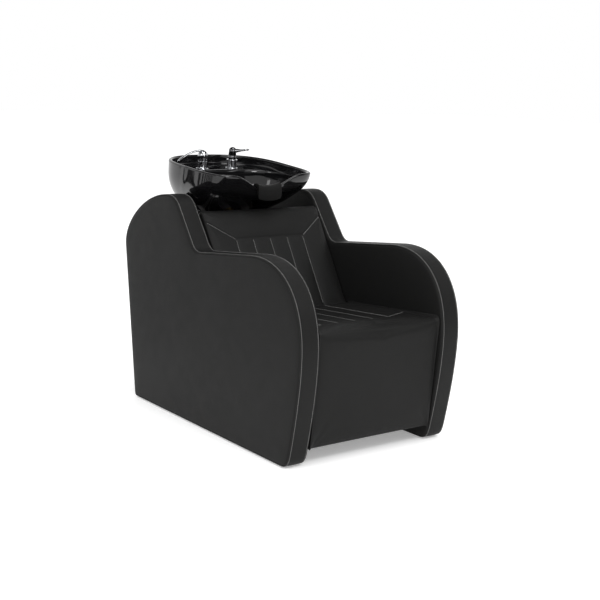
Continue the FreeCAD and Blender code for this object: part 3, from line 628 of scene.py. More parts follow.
def pad_mesh(keys, profile):
    """A pad's rings over its width, closed at both sides, and how free each point is to swell."""
    verts, soft = [], []
    rings = across(keys)
    for x, depth in rings:
        loop, free = profile(x)
        verts += [(x, p[0], p[1]) for p in draw_in(loop, free, depth)]
        soft += [f if depth < 6 else 0.0 for f in free]
    count = len(loop)
    faces = bands(len(rings), count)
    for first in (0, (len(rings) - 1) * count):
        faces += fill([p[1:] for p in verts[first:first + count]], first)
    return verts, faces, soft


def seam_distance(point, seams):
    """Distance in mm from a point to the nearest seam line, in the seam's own flat coordinates."""
    best = 1e9
    for (ax, ay), (bx, by) in seams:
        dx, dy = bx - ax, by - ay
        t = ((point[0] - ax) * dx + (point[1] - ay) * dy) / (dx * dx + dy * dy)
        t = min(max(t, 0.0), 1.0)
        best = min(best, math.hypot(point[0] - ax - t * dx, point[1] - ay - t * dy))
    return best


def inflate(obj, weights):
    """Cloth pressure between the pinned vertices; no point moves further than SWELL_LIMIT."""
    rest = np.array([v.co for v in obj.data.vertices])
    group = obj.vertex_groups.new(name="held")
    for k, w in enumerate(weights):
        if w > 0:
            group.add([k], w, "REPLACE")
    mod = obj.modifiers.new("Cloth", "CLOTH")
    s = mod.settings
    s.quality = 6
    s.mass = 0.35
    s.tension_stiffness = 22
    s.compression_stiffness = 22
    s.shear_stiffness = 12
    s.bending_stiffness = 1.2
    s.use_pressure = True
    s.uniform_pressure_force = 4.0
    s.effector_weights.gravity = 0
    s.vertex_group_mass = "held"
    mod.collision_settings.use_collision = False
    mod.point_cache.frame_start = 1
    mod.point_cache.frame_end = SIM_FRAMES
    scene = bpy.context.scene
    for number in range(1, SIM_FRAMES + 1):
        scene.frame_set(number)
    depth = bpy.context.evaluated_depsgraph_get()
    final = np.array([v.co for v in obj.evaluated_get(depth).data.vertices])
    obj.modifiers.remove(mod)
    obj.vertex_groups.remove(group)
    scene.frame_set(1)
    move = final - rest
    size = np.linalg.norm(move, axis=1)
    limit = SWELL_LIMIT * MM
    scale = np.where(size > 1e-9, limit * np.tanh(size / limit) / np.maximum(size, 1e-9), 0.0)
    place_all(obj.data, (rest + move * scale[:, None]) / MM)


def place_all(mesh, points):
    """Puts a mesh's vertices at points, in millimetres."""
    mesh.vertices.foreach_set("co", (points * MM).ravel())
    mesh.update()


def subdivide(obj):
    """One smooth subdivision, applied."""
    mod = obj.modifiers.new("Subdivision", "SUBSURF")
    mod.levels = 1
    mod.render_levels = 1
    apply_modifiers(obj)


def seat_profile_for(x):
    """The seat's section at x: a closed loop, and how free each point is to swell."""
    nose_r = 26.0
    slope = (SEAT_NOSE[1] - SEAT_REAR[1]) / (SEAT_REAR[0] - SEAT_NOSE[0])
    lean = (SEAT_NOSE[0] - APRON_FOOT[0]) / (SEAT_NOSE[1] - APRON_FOOT[1])
    face_end = np.array([SEAT_NOSE[0] - lean * nose_r, SEAT_NOSE[1] - nose_r])
    top_start = np.array([SEAT_NOSE[0] + nose_r, SEAT_NOSE[1] - slope * nose_r])
    rear_top = on_back(0, -2)
    rear_y = on_back(-SEAT_SLAB / BACK_DIR[1], -2)[0]
    rear_foot = np.array([rear_y, SEAT_REAR[1] - SEAT_SLAB])
    apron_top = np.array([SEAT_NOSE[0] + APRON_T, SEAT_NOSE[1] - SEAT_SLAB])
    apron_foot = np.array([APRON_FOOT[0] + APRON_T, APRON_FOOT[1]])
    points, free = [], []

    def run(a, b, count, amount):
        for k in range(count):
            points.append(np.array(a) + (np.array(b) - np.array(a)) * k / count)
            free.append(amount)

    run(APRON_FOOT, face_end, 54, 1.0)
    for k in range(6):
        t = k / 6
        corner = np.array(SEAT_NOSE, float)
        points.append((1 - t) ** 2 * face_end + 2 * (1 - t) * t * corner + t ** 2 * top_start)
        free.append(1.0)
    seam_y = seat_yoke(x)
    at = (seam_y - top_start[0]) / (rear_top[0] - top_start[0])
    seam = top_start + (rear_top - top_start) * at
    run(top_start, seam, 15, 1.0)
    run(seam, rear_top, 54, 1.0)
    run(rear_top, rear_foot, 9, 0.0)
    run(rear_foot, apron_top, 66, 0.0)
    run(apron_top, apron_foot, 46, 0.0)
    run(apron_foot, APRON_FOOT, 4, 0.0)
    return np.array(points), np.array(free)


SEAT_CHANNELS = (0.0, 78.0, 150.0)
SEAT_YOKE = -447.0
SEAT_WING = 46.0
BACK_CHANNELS = (0.0, 78.0, 153.0)
BACK_YOKE = BACK_LENGTH - 126.0
BACK_WING_TOP = BACK_LENGTH - 50.0


def seat_yoke(x):
    reach = max(abs(x) - SEAT_CHANNELS[-1], 0.0) / (CUSHION_HALF - SEAT_CHANNELS[-1])
    return SEAT_YOKE + SEAT_WING * reach


def back_yoke(x):
    reach = max(abs(x) - BACK_CHANNELS[-1], 0.0) / (CUSHION_HALF - BACK_CHANNELS[-1])
    return BACK_YOKE + (BACK_WING_TOP - BACK_YOKE) * reach


def back_profile_for(x):
    """The back's section at x: face, rolled top, rear and sunk foot."""
    r = 24.0
    low, high = -BACK_SINK, BACK_LENGTH
    points, free = [], []

    def run(a, b, count, amount):
        for k in range(count):
            t = k / count
            points.append(on_back(a[0] + (b[0] - a[0]) * t, a[1] + (b[1] - a[1]) * t))
            free.append(amount)

    run((low, 0), (0, 0), 8, 0.0)
    seam = back_yoke(x)
    run((0, 0), (seam, 0), 42, 1.0)
    run((seam, 0), (high - r, 0), 15, 1.0)
    for k in range(6):
        a = math.pi / 2 * k / 6
        points.append(on_back(high - r + r * math.sin(a), r - r * math.cos(a)))
        free.append(1.0)
    run((high, r), (high, BACK_T - r), 5, 1.0)
    for k in range(5):
        a = math.pi / 2 * k / 5
        points.append(on_back(high - r + r * math.cos(a), BACK_T - r + r * math.sin(a)))
        free.append(0.4)
    run((high - r, BACK_T), (low, BACK_T), 56, 0.0)
    run((low, BACK_T), (low, 0), 10, 0.0)
    # anticlockwise, so that the left of the loop is the inside
    return np.array(points)[::-1], np.array(free)[::-1]


def make_cushion(name, node, profile, keys, lines, flatten, look, sink, groove):
    """Builds, inflates, refines and grooves one cushion. lines are in flattened coordinates."""
    verts, faces, soft = pad_mesh(keys, profile)
    obj = piece(name, verts, faces, look, None, [node])
    rest = np.array(verts)
    weights = np.where(np.array(soft) > 0.5, 0.0, 1.0)
    normals = np.array([v.normal for v in obj.data.vertices])
    start = rest.copy()
    swell = np.zeros(len(rest))
    for k, v in enumerate(verts):
        f = flatten(v)
        if f is None or soft[k] < 0.5:
            continue
        gap = seam_distance(f, lines)
        if gap < SEAM_HALF:
            weights[k] = 1.0
            start[k] -= normals[k] * sink
        else:
            start[k] -= normals[k] * PAD_SINK
            swell[k] = SWELL * (1 - math.exp(-gap / SWELL_REACH))
    place_all(obj.data, start)
    inflate(obj, weights)
    subdivide(obj)
    co = np.array([v.co for v in obj.data.vertices]) / MM
    normals = np.array([v.normal for v in obj.data.vertices])
    for k in range(len(co)):
        f = flatten(co[k])
        if f is None:
            continue
        gap = seam_distance(f, lines)
        if gap < 9.0:
            co[k] -= normals[k] * groove * math.exp(-(gap / GROOVE_WIDTH) ** 2)
    co[:, 0] = np.clip(co[:, 0], -CUSHION_HALF + 0.4, CUSHION_HALF - 0.4)
    place_all(obj.data, co)
    smooth(obj.data)
    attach(obj, "frame")
    return obj


def seat_flat(v):
    """(x, y) of a point on the seat's top, or None elsewhere."""
    if v[2] < 414 or v[1] > -60 or v[1] < -572:
        return None
    return v[0], v[1]


def back_flat(v):
    """(x, distance up the back's face) of a point on the face, or None elsewhere."""
    rel = np.array([v[1], v[2]]) - np.array(SEAT_REAR)
    depth = rel.dot(BACK_NORMAL)
    if depth > 16:
        return None
    return v[0], rel.dot(BACK_DIR)


def mirror_lines(lines):
    return lines + [((-a[0], a[1]), (-b[0], b[1])) for a, b in lines if a[0] or b[0]]


def laid(obj, flat_points, direction, back_off):
    """Drops flat points onto a cushion; gives (place, normal) pairs in mm."""
    mesh = obj.data
    tree = BVHTree.FromPolygons([v.co for v in mesh.vertices], [p.vertices for p in mesh.polygons])
    way = Vector(direction)
    out = []
    for p in flat_points:
        hit = tree.ray_cast((Vector(p) - way * back_off) * MM, way)[0]
        if hit is not None:
            out.append((np.array(hit) / MM - np.array(way) * STITCH_LIFT, -way))
    return out


def steps_between(a, b):
    """Places for stitches from a to b."""
    count = max(int(round(math.dist(a, b) / SEAM_PITCH)), 1)
    return [tuple(np.array(a) + (np.array(b) - np.array(a)) * k / count) for k in range(count + 1)]


def seam_lines(channels, yoke, yoke_at, end):
    """The seams on one flattened cushion: the yoke's three stretches and the channels."""
    edge = CUSHION_HALF - 2.0
    corner = (channels[-1], yoke)
    lines = [((0.0, yoke), corner), (corner, (edge, yoke_at(edge)))]
    lines += [((x, yoke), (x, end)) for x in channels]
    return mirror_lines(lines)


def seam_paths(channels, yoke, yoke_at, channel_end, starts):
    """Where the stitches lie on one flattened cushion; starts are how far they begin inside the seams."""
    edge = CUSHION_HALF - 2.0
    channel_start, wing_start, wing_end = starts
    paths = []
    for x in channels:
        for sign in ((1, -1) if x else (1,)):
            rows = steps_between((0, yoke + channel_start), (0, channel_end))
            paths.append([(sign * x, row[1]) for row in rows])
    for sign in (1, -1):
        paths.append(steps_between((sign * (channels[-1] + 4), yoke + wing_start),
                                   (sign * (edge - 6), yoke_at(edge) + wing_end)))
    return paths


def seats():
    lines = seam_lines(SEAT_CHANNELS, SEAT_YOKE, seat_yoke, -60.0)
    obj = make_cushion("seat_pad", "seat_cushion", seat_profile_for, SEAT_CHANNELS, lines, seat_flat,
                       LOOKS["black_vinyl"], 3.6, 0.8)
    paths = seam_paths(SEAT_CHANNELS, SEAT_YOKE, seat_yoke, -76, (6, 5, 4))
    stitches("seat_stitches", [laid(obj, [(x, y, 460) for x, y in path], (0, 0, -1), 60) for path in paths])

    lines = seam_lines(BACK_CHANNELS, BACK_YOKE, back_yoke, -6.0)
    # the back cushion uses the darker copy of the leathercloth: painted shade
    obj = make_cushion("back_pad", "back_cushion", back_profile_for, BACK_CHANNELS, lines, back_flat,
                       BACK_VINYL_PAINTED_SHADE, 5.5, 1.7)
    into = (0.0, float(BACK_NORMAL[0]), float(BACK_NORMAL[1]))
    paths = seam_paths(BACK_CHANNELS, BACK_YOKE, back_yoke, 12, (-6, -1, -4))
    runs = [laid(obj, [(x, *on_back(along, 0)) for x, along in path], into, 50) for path in paths]
    stitches("back_stitches", runs)


# ---------------------------------------------------------------- basin

RIM = np.array([0.0, 130.0, 916.0])
TILT = math.radians(4.97)
OUTER = np.array([
    (0.0, 239.0, -30.0, 462.0, 1.0),
    (-25.0, 238.0, -24.0, 461.0, 1.0),
    (-52.0, 236.0, -6.0, 459.0, 1.0),
    (-75.0, 231.0, 16.0, 456.0, 0.75),
    (-100.0, 221.0, 48.0, 450.0, 0.45),
    (-140.0, 196.0, 102.0, 430.0, 0.12),
    (-175.0, 153.0, 154.0, 392.0, 0.0),
    (-190.0, 128.0, 178.0, 368.0, 0.0),
])
LIP_S = -30.0
LIP_DROP = 52.0
LIP_WIDTH = 102.0
LIP_POWER = 3.0
LIP_REACH = 96.0
BULGE = 85.0
BACK_POWER = 2.6
FRONT_POWER = 6.0
WALL = 14.0
DECK_W = -38.0
DECK_T = 14.0
DECK_FRONT = 304.0
TAP_S = 341.0
TAP_X = 70.0
DRAIN_S = 205.0
DRAIN_R = 22.6
FLOOR_W = -165.0
FOOT_W = -190.0
RING = 288
BOWL_CENTER = 175.0
TRAY_CENTER = 231.0
FOOT_CENTER = 273.0
BOWL_EDGE_R = 26.0
LEDGE_R = 7.0
TRAY_R = 9.0
GLAZE = 2.0


def to_world(points):
    """Basin points (x, s, w) as places in the room, in mm."""
    p = np.asarray(points, float).reshape(-1, 3)
    s, w = p[:, 1], p[:, 2]
    y = RIM[1] + s * math.cos(TILT) - w * math.sin(TILT)
    z = RIM[2] + s * math.sin(TILT) + w * math.cos(TILT)
    return np.stack([p[:, 0], y, z], axis=1)


def smooth_table(table, at):
    """Monotone cubic values of a table (first column falling) at one place."""
    xs = -table[:, 0]
    x = min(max(-at, xs[0]), xs[-1])
    k = min(int(np.searchsorted(xs, x, side="right")) - 1, len(xs) - 2)
    h = np.diff(xs)
    out = []
    for c in range(1, table.shape[1]):
        v = table[:, c]
        d = np.diff(v) / h

        def slope(i):
            if i == 0:
                return d[0]
            if i == len(xs) - 1:
                return d[-1]
            if d[i - 1] * d[i] <= 0:
                return 0.0
            return 2 * d[i - 1] * d[i] / (d[i - 1] + d[i])

        t = (x - xs[k]) / h[k]
        m0, m1 = slope(k) * h[k], slope(k + 1) * h[k]
        out.append((2 * t ** 3 - 3 * t ** 2 + 1) * v[k] + (t ** 3 - 2 * t ** 2 + t) * m0
                   + (-2 * t ** 3 + 3 * t ** 2) * v[k + 1] + (t ** 3 - t ** 2) * m1)
    return out


DENSE = np.linspace(0, 2 * math.pi, 1440, endpoint=False)


def section(w, inset, back_limit):
    """The basin's plan at depth w, drawn in by inset."""
    half, front, back, share = smooth_table(OUTER, w)
    half = half - inset
    low = front + inset
    high = min(back - inset, back_limit)
    middle = (low + high) / 2
    c, n = np.cos(DENSE), np.sin(DENSE)
    power = np.where(n > 0, BACK_POWER, FRONT_POWER)
    x = half * np.sign(c) * np.abs(c) ** (2 / power)
    reach = np.where(n > 0, high - middle, middle - low)
    s = middle + reach * np.sign(n) * np.abs(n) ** (2 / power)
    pull = np.where(n < 0, (front - LIP_S) * share * np.exp(-(x / BULGE) ** 2) * np.abs(n) ** 1.5, 0.0)
    return np.stack([x, s - pull], axis=1)


def even(loop, center_s):
    """The loop's points at even polar angles about (0, center_s), starting at +X."""
    angle = np.unwrap(np.arctan2(loop[:, 1] - center_s, loop[:, 0]))
    order = np.argsort(angle)
    angle, pts = angle[order], loop[order]
    angle = np.concatenate([angle - 2 * math.pi, angle, angle + 2 * math.pi])
    pts = np.vstack([pts, pts, pts])
    at = np.linspace(0, 2 * math.pi, RING, endpoint=False)
    r = np.interp(at, angle, np.hypot(pts[:, 0], pts[:, 1] - center_s))
    return np.stack([r * np.cos(at), center_s + r * np.sin(at)], axis=1)


def ring_at(w, inset, center_s, back_limit):
    return even(section(w, inset, back_limit), center_s)


def lip(x, s):
    """How far the rim falls at the neck opening; nothing behind the front wall."""
    fade = np.clip((190.0 - s) / 90.0, 0.0, 1.0)
    fade = fade * fade * (3 - 2 * fade)
    return -LIP_DROP * np.exp(-(np.abs(x) / LIP_WIDTH) ** LIP_POWER) * fade


def lipped(w, inset, center_s, back_limit=1e9):
    """A loop at nominal depth w, pulled down under the neck opening."""
    first = ring_at(min(w, 0.0), inset, center_s, back_limit)
    fall = lip(first[:, 0], first[:, 1])
    depth = np.full(RING, float(w))
    if w > -LIP_REACH:
        depth += fall * (1 + min(w, 0.0) / LIP_REACH)
    whole = np.round(depth, 0)
    table = {d: ring_at(min(d, 0.0), inset, center_s, back_limit) for d in np.unique(whole)}
    out = np.array([(*table[d][k], depth[k]) for k, d in enumerate(whole)])
    # the rounding to whole depths leaves tiny steps, which this takes out
    for _ in range(2):
        out[:, :2] = (np.roll(out[:, :2], 1, axis=0) + 2 * out[:, :2] + np.roll(out[:, :2], -1, axis=0)) / 4
    return out


BOWL_DEPTHS = np.array([-30.0, -60.0, -100.0, -135.0, -165.0])
BOWL_BACKS = np.array([304.0, 302.0, 292.0, 276.0, 248.0])


def bowl_back(w):
    return float(np.interp(-w, -BOWL_DEPTHS, BOWL_BACKS))


def blend_rings(a, b, t):
    return a + (b - a) * t


def circle(r, w):
    """A level circle about the drain."""
    return np.array(level_ring(0.0, DRAIN_S, r, w, RING))


def bowl_ring(w, inset):
    center = np.interp(-w, [30, 165], [BOWL_CENTER, 204.0])
    return lipped(w, inset, center, bowl_back(w) - (inset - WALL - GLAZE))


def quarter(count, steps):
    """Angles up to a right angle, in the first count of so many steps."""
    return [math.pi / 2 * k / steps for k in range(1, count + 1)]


def bowl_rows():
    """From under the drain, over the floor and up the wall of the bowl."""
    inset = WALL + GLAZE
    first = circle(DRAIN_R + 1.5, FLOOR_W)
    rows = [circle(DRAIN_R, FOOT_W), circle(DRAIN_R, FLOOR_W - GLAZE), first]
    floor_edge = bowl_ring(FLOOR_W + 4, inset + BOWL_EDGE_R)
    for t in (0.12, 0.28, 0.46, 0.64, 0.82, 1.0):
        row = blend_rings(first, floor_edge, t)
        row[:, 2] = FLOOR_W + GLAZE * t * t
        rows.append(row)
    for a in quarter(6, 7):
        w = FLOOR_W + GLAZE + BOWL_EDGE_R * (1 - math.cos(a))
        rows.append(bowl_ring(w, inset + BOWL_EDGE_R * (1 - math.sin(a))))
    for w in np.linspace(FLOOR_W + 30, DECK_W - 8, 15):
        rows.append(bowl_ring(float(w), inset))
    return rows


def tray_rows():
    """Over the ledge, across the tap tray and up to the rim."""
    rows = []
    for a in quarter(5, 5):
        back = DECK_FRONT + LEDGE_R * (1 - math.cos(a))
        rows.append(lipped(DECK_W - LEDGE_R * (1 - math.sin(a)), WALL + GLAZE, BOWL_CENTER, back))
    ledge = rows[-1]
    inner = lipped(DECK_W, WALL, TRAY_CENTER)
    toward = inner[:, :2] - np.array([0.0, TRAY_CENTER])
    toward /= np.linalg.norm(toward, axis=1)[:, None]
    start = inner.copy()
    start[:, :2] -= toward * TRAY_R
    # where the ledge is as wide as the tray, the deck shrinks to nothing
    behind = np.clip((ledge[:, 1] - 215.0) / 60.0, 0.0, 1.0)[:, None]
    for t in (0.06, 0.25, 0.5, 0.75, 1.0):
        narrow = blend_rings(ledge, inner, t * 0.5)
        rows.append(blend_rings(narrow, blend_rings(ledge, start, t), behind))
    last = rows[-1]
    for k, a in enumerate(quarter(4, 4)):
        row = lipped(DECK_W + TRAY_R * (1 - math.cos(a)), WALL, TRAY_CENTER)
        narrow = blend_rings(last, row, (k + 1) / 4)
        row[:, :2] -= toward * TRAY_R * (1 - math.sin(a))
        rows.append(blend_rings(narrow, row, behind))
    return rows + [lipped(w, WALL, TRAY_CENTER) for w in (-22.0, -15.0)]


def outer_rows():
    """Over the rolled rim, down the outside and under the foot to the drain."""
    r = WALL / 2
    rows = [lipped(-r + r * math.sin(a), r + r * math.cos(a), TRAY_CENTER)
            for a in np.linspace(0, math.pi, 13)]
    depths = list(np.arange(-16.0, -149.0, -12.0)) + [-159.0, -169.0, -177.0, -184.0]
    rows += [lipped(w, 0.0, np.interp(-w, [0, 190], [TRAY_CENTER, FOOT_CENTER])) for w in depths]
    rows += [lipped(w, inset, FOOT_CENTER) for inset, w in ((0.6, -187.5), (2.2, -189.3), (5.0, FOOT_W))]
    under = rows[-1]
    for t in (0.25, 0.5, 0.75):
        row = blend_rings(under, circle(DRAIN_R, FOOT_W), t)
        row[:, 2] = FOOT_W
        rows.append(row)
    return rows


def basin_mesh():
    rows = bowl_rows() + tray_rows() + outer_rows()
    verts = np.vstack([to_world(row) for row in rows])
    return verts, bands(len(rows), RING, wrap=True)


def rounded_box(low, high, radius):
    bm = bmesh.new()
    bmesh.ops.create_cube(bm, size=1.0)
    for v in bm.verts:
        for k in range(3):
            v.co[k] = (low[k] if v.co[k] < 0 else high[k])
    bmesh.ops.bevel(bm, geom=bm.edges[:], offset=radius, segments=4, profile=0.5, affect="EDGES")
    verts = [tuple(v.co) for v in bm.verts]
    faces = [[v.index for v in f.verts] for f in bm.faces]
    bm.free()
    return verts, faces


def cut(obj, verts, faces):
    """Takes a closed shape, in world mm, out of obj, for good."""
    mesh = closed_mesh("cutter", verts, faces)
    tool = linked("cutter", mesh)
    mod = obj.modifiers.new("Cut", "BOOLEAN")
    mod.operation = "DIFFERENCE"
    mod.solver = "EXACT"
    mod.object = tool
    apply_modifiers(obj)
    bpy.data.objects.remove(tool)
    bpy.data.meshes.remove(mesh)


def basin():
    verts, faces = basin_mesh()
    obj = piece("basin_shell", verts, faces, LOOKS["black_ceramic"], None, ["basin_bowl"])
    box_v, box_f = rounded_box((-140, DECK_FRONT + 14, -300), (140, DECK_FRONT + 122, DECK_W - DECK_T), 8.0)
    cut(obj, to_world(box_v), box_f)
    smooth(obj.data)
    obj.data.set_sharp_from_angle(angle=math.radians(50))
    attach(obj, "basin")


# ---------------------------------------------------------------- neck rest

NECK_HALF = 52.0
NECK_THICK = 4.2
NECK_LOW = -47.0


def neck_rest():
    """A soft saddle: over the lip, with a tongue down the outside and a short inner edge."""
    center = [(-7.0, NECK_LOW), (-8.5, -38.0), (-9.5, -22.0), (-9.0, -6.0), (-5.0, 4.0),
              (4.0, 8.0), (14.0, 9.0), (24.0, 8.0), (32.0, 3.0), (36.5, -6.0)]
    middle = resample(center, 4.0, closed=False)
    normal = side_of(middle)
    count = len(middle)
    start = RIM + (0, LIP_S + 3, -LIP_DROP - 1.5)
    rows = []
    for share in np.sin(np.linspace(-math.pi / 2, math.pi / 2, 29)):
        x = NECK_HALF * share
        edge = math.sqrt(max(1 - share ** 2, 0.0))
        thick = NECK_THICK * min(edge ** 0.5 * 1.25, 1.0) + 0.25
        rise = float(lip(np.array([x]), np.array([0.0]))[0]) + LIP_DROP
        outer, inner = [], []
        for k, (p, n) in enumerate(zip(middle, normal)):
            along = k / (count - 1)
            taper = min(1.0, 4.0 * along + 0.25, 4.0 * (1 - along) + 0.25)
            keep = min(max((p[1] - NECK_LOW) / 26.0, 0.0), 1.0)
            lift = rise * (0.2 + 0.8 * keep)
            hang = 7.0 * (1 - edge) * (1 - along) * 1.6
            for target, side in ((outer, 0.5), (inner, -0.5)):
                q = p + n * thick * side * taper
                target.append((x, start[1] + q[0], start[2] + q[1] + lift + hang))
        rows.append(outer + inner[::-1])
    verts, faces = loft(rows)
    obj = piece("neck_rest_saddle", verts, faces, LOOKS["grey_silicone"], None,
                ["neck_rest"])
    subdivide(obj)
    smooth(obj.data)
    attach(obj, "neck_rest")


# ---------------------------------------------------------------- taps

SIDES = 72
UNDER_W = DECK_W - DECK_T


def lathe(profile, x, s):
    """A turned shape about an upright axis of the basin: profile is (radius, w) pairs."""
    verts, faces = loft([level_ring(x, s, r, w, SIDES) for r, w in profile])
    return to_world(verts), faces


def rounded_profile(points, radius):
    """A profile whose inner corners are rounded, so that edges catch the light."""
    pts = [np.array(p, float) for p in points]
    out = [tuple(pts[0])]
    for k in range(1, len(pts) - 1):
        a, b, c = pts[k - 1], pts[k], pts[k + 1]
        reach = min(radius, np.linalg.norm(b - a) * 0.45, np.linalg.norm(c - b) * 0.45)
        first = b + (a - b) / np.linalg.norm(a - b) * reach
        last = b + (c - b) / np.linalg.norm(c - b) * reach
        for t in (0.0, 0.25, 0.5, 0.75, 1.0):
            out.append(tuple((1 - t) ** 2 * first + 2 * (1 - t) * t * b + t * t * last))
    out.append(tuple(pts[-1]))
    return out


def taps():
    chrome = LOOKS["chrome"]
    for name, node, x in (("mixer_rose", "mixer_flange", -TAP_X), ("holder_rose", "holder_flange", TAP_X)):
        profile = rounded_profile([(17.6, DECK_W + 0.2), (26, DECK_W + 0.2), (26, DECK_W + 2.4),
                                   (22.5, DECK_W + 4.6), (17.6, DECK_W + 5)], 1.2)
        verts, faces = lathe(profile, x, TAP_S)
        piece(name, verts, faces, chrome, "basin", [node], sharp=40)
    profile = rounded_profile([(0.01, UNDER_W - 26), (12, UNDER_W - 26), (12, DECK_W - 1), (17.6, DECK_W - 1),
                               (18, DECK_W + 5), (17.2, DECK_W + 9), (16.6, DECK_W + 16), (18, -7.4),
                               (9, -7.2), (9, 3), (0.01, 3)], 1.0)
    verts, faces = lathe(profile, -TAP_X, TAP_S)
    piece("mixer_pillar", verts, faces, chrome, "basin", ["mixer_body"], sharp=40)
    dome = [(9.2, -5.8), (17.6, -6.0), (18.8, -4.6), (19.4, 0.0), (20.4, 10.0), (20.6, 18.0)]
    dome += [(20.6 * math.cos(a), 18.0 + 16.5 * math.sin(a)) for a in np.linspace(0.16, 1.5, 12)]
    dome.append((0.01, 34.6))
    verts, faces = lathe(dome, -TAP_X, TAP_S)
    piece("mixer_head", verts, faces, chrome, "mixer_cap", ["mixer_cap"], sharp=60)
    lever()
    holder()
    hand_shower()


def lever():
    """A flat, waisted lever that leaves the top of the cap and falls away to its tip."""
    x0 = -TAP_X
    center = [(x0 + 10, 31.5), (x0 - 6, 34.0), (x0 - 18, 34.5), (x0 - 40, 31.5), (x0 - 68, 22.0),
              (x0 - 92, 9.0), (x0 - 109, -2.0), (x0 - 114, -6.0)]
    path = resample(smooth_curve(center), 3.0, closed=False)
    normal = -side_of(path)
    where = np.linspace(0, 1, len(path))
    width = np.interp(where, [0, 0.08, 0.2, 0.4, 0.75, 0.93, 1.0], [5.0, 10.5, 10.0, 7.2, 7.0, 6.4, 2.2])
    thick = np.interp(where, [0, 0.08, 0.25, 0.6, 0.95, 1.0], [2.0, 4.6, 3.8, 2.6, 2.0, 0.8])
    rows = []
    for p, n, a, b in zip(path, normal, width, thick):
        ring = []
        for t in np.linspace(0, 2 * math.pi, 28, endpoint=False):
            c, q = math.cos(t), math.sin(t)
            off = b * math.copysign(abs(q) ** 0.8, q)
            ring.append((p[0] + n[0] * off, TAP_S + a * math.copysign(abs(c) ** 0.7, c), p[1] + n[1] * off))
        rows.append(ring)
    verts, faces = loft(rows)
    piece("mixer_handle", to_world(verts), faces, LOOKS["chrome"], "mixer_lever", ["mixer_lever"],
          sharp=60)


def smooth_curve(points):
    """A smooth curve through the points (Catmull-Rom)."""
    p = [np.array(q, float) for q in points]
    p = [2 * p[0] - p[1]] + p + [2 * p[-1] - p[-2]]
    out = []
    for k in range(1, len(p) - 2):
        a, b, c, d = p[k - 1:k + 3]
        for t in np.linspace(0, 1, 12, endpoint=False):
            out.append(0.5 * (2 * b + (c - a) * t + (2 * a - 5 * b + 4 * c - d) * t ** 2
                              + (3 * b - a - 3 * c + d) * t ** 3))
    out.append(p[-2])
    return np.array(out)


def holder():
    profile = [(6.6, UNDER_W - 26), (12, UNDER_W - 26), (12, DECK_W - 1), (17.4, DECK_W - 1),
               (17.4, DECK_W + 5), (18.2, DECK_W + 12), (20.4, -8), (22, -3.4), (21.2, -2.0),
               (18.2, -2.0), (17.2, -3.4), (10.4, DECK_W + 6.4), (6.6, DECK_W + 5.4)]
    profile = rounded_profile(profile + profile[:1], 1.0)
    rows = [level_ring(TAP_X, TAP_S, r, w, SIDES) for r, w in profile[:-1]]
    verts = np.vstack([to_world(row) for row in rows])
    faces = bands(len(rows), SIDES, wrap=True)
    piece("shower_socket", verts, faces, LOOKS["chrome"], "basin", ["shower_holder"], sharp=45)


GRIP_R = 15.5
GRIP_TOP = 32.0
PADDLE_AIM = (0.62, -0.75, 0.12)
# distance along the paddle, half width, half thickness, rise
PADDLE = np.array([
    (12.0, 9.0, 8.6, 0.0), (20.0, 9.6, 7.6, 0.4), (28.0, 11.5, 6.4, 1.0), (36.0, 15.0, 5.4, 1.8),
    (44.0, 18.6, 5.0, 2.4), (52.0, 20.0, 4.9, 3.0), (60.0, 18.6, 4.6, 3.4), (66.0, 14.2, 4.0, 3.8),
    (70.0, 7.8, 3.0, 4.2), (71.4, 2.0, 1.2, 4.4)])


def hand_shower():
    """A turned grip with a flat paddle that leaves it near the top."""
    low = DECK_W + 8
    profile = [(0.01, low), (4.2, low), (9.4, low), (10.2, low + 1.0), (14.9, -6.0), (GRIP_R, 2.0),
               (GRIP_R, 12.0), (14.9, 13.0), (14.9, 14.4), (GRIP_R, 15.4), (GRIP_R, GRIP_TOP)]
    profile += [(GRIP_R * math.cos(a), GRIP_TOP + GRIP_R * math.sin(a)) for a in np.linspace(0.15, 1.5, 10)]
    profile.append((0.01, GRIP_TOP + GRIP_R))
    verts, faces = lathe(profile, TAP_X, TAP_S)
    piece("shower_body", verts, faces, SMOKED_CHROME, "hand_shower", ["hand_shower_grip"], sharp=45)
    aim = np.array(PADDLE_AIM) / np.linalg.norm(PADDLE_AIM)
    side = np.cross([0, 0, 1.0], aim)
    side /= np.linalg.norm(side)
    up = np.cross(aim, side)
    rows = []
    for at in np.linspace(0, len(PADDLE) - 1, 34):
        d, a, b, rise = [np.interp(at, range(len(PADDLE)), PADDLE[:, k]) for k in range(4)]
        center = np.array([TAP_X, TAP_S, GRIP_TOP]) + aim * d
        rows.append([center + side * a * math.cos(q) + up * (b * math.sin(q) + rise)
                     for q in np.linspace(0, 2 * math.pi, 32, endpoint=False)])
    verts, faces = loft(rows)
    piece("shower_paddle", to_world(verts), faces, LOOKS["chrome"], "hand_shower",
          ["hand_shower_head"], sharp=60)


# ---------------------------------------------------------------- rear cover and hoses

COVER_LOW = 132.0
COVER_KNEE = 600.0
COVER_BEND = [(573.0, 650.0), (549.0, 690.0), (538.0, 712.0), (534.0, 733.0)]
COVER_T = 12.0
COVER_PITCH = 6.0
COVER_GAP = 4.0
COVER_CROWN = 1.3
COVER_ROLL = 3.6
RESERVE_R = 3.8


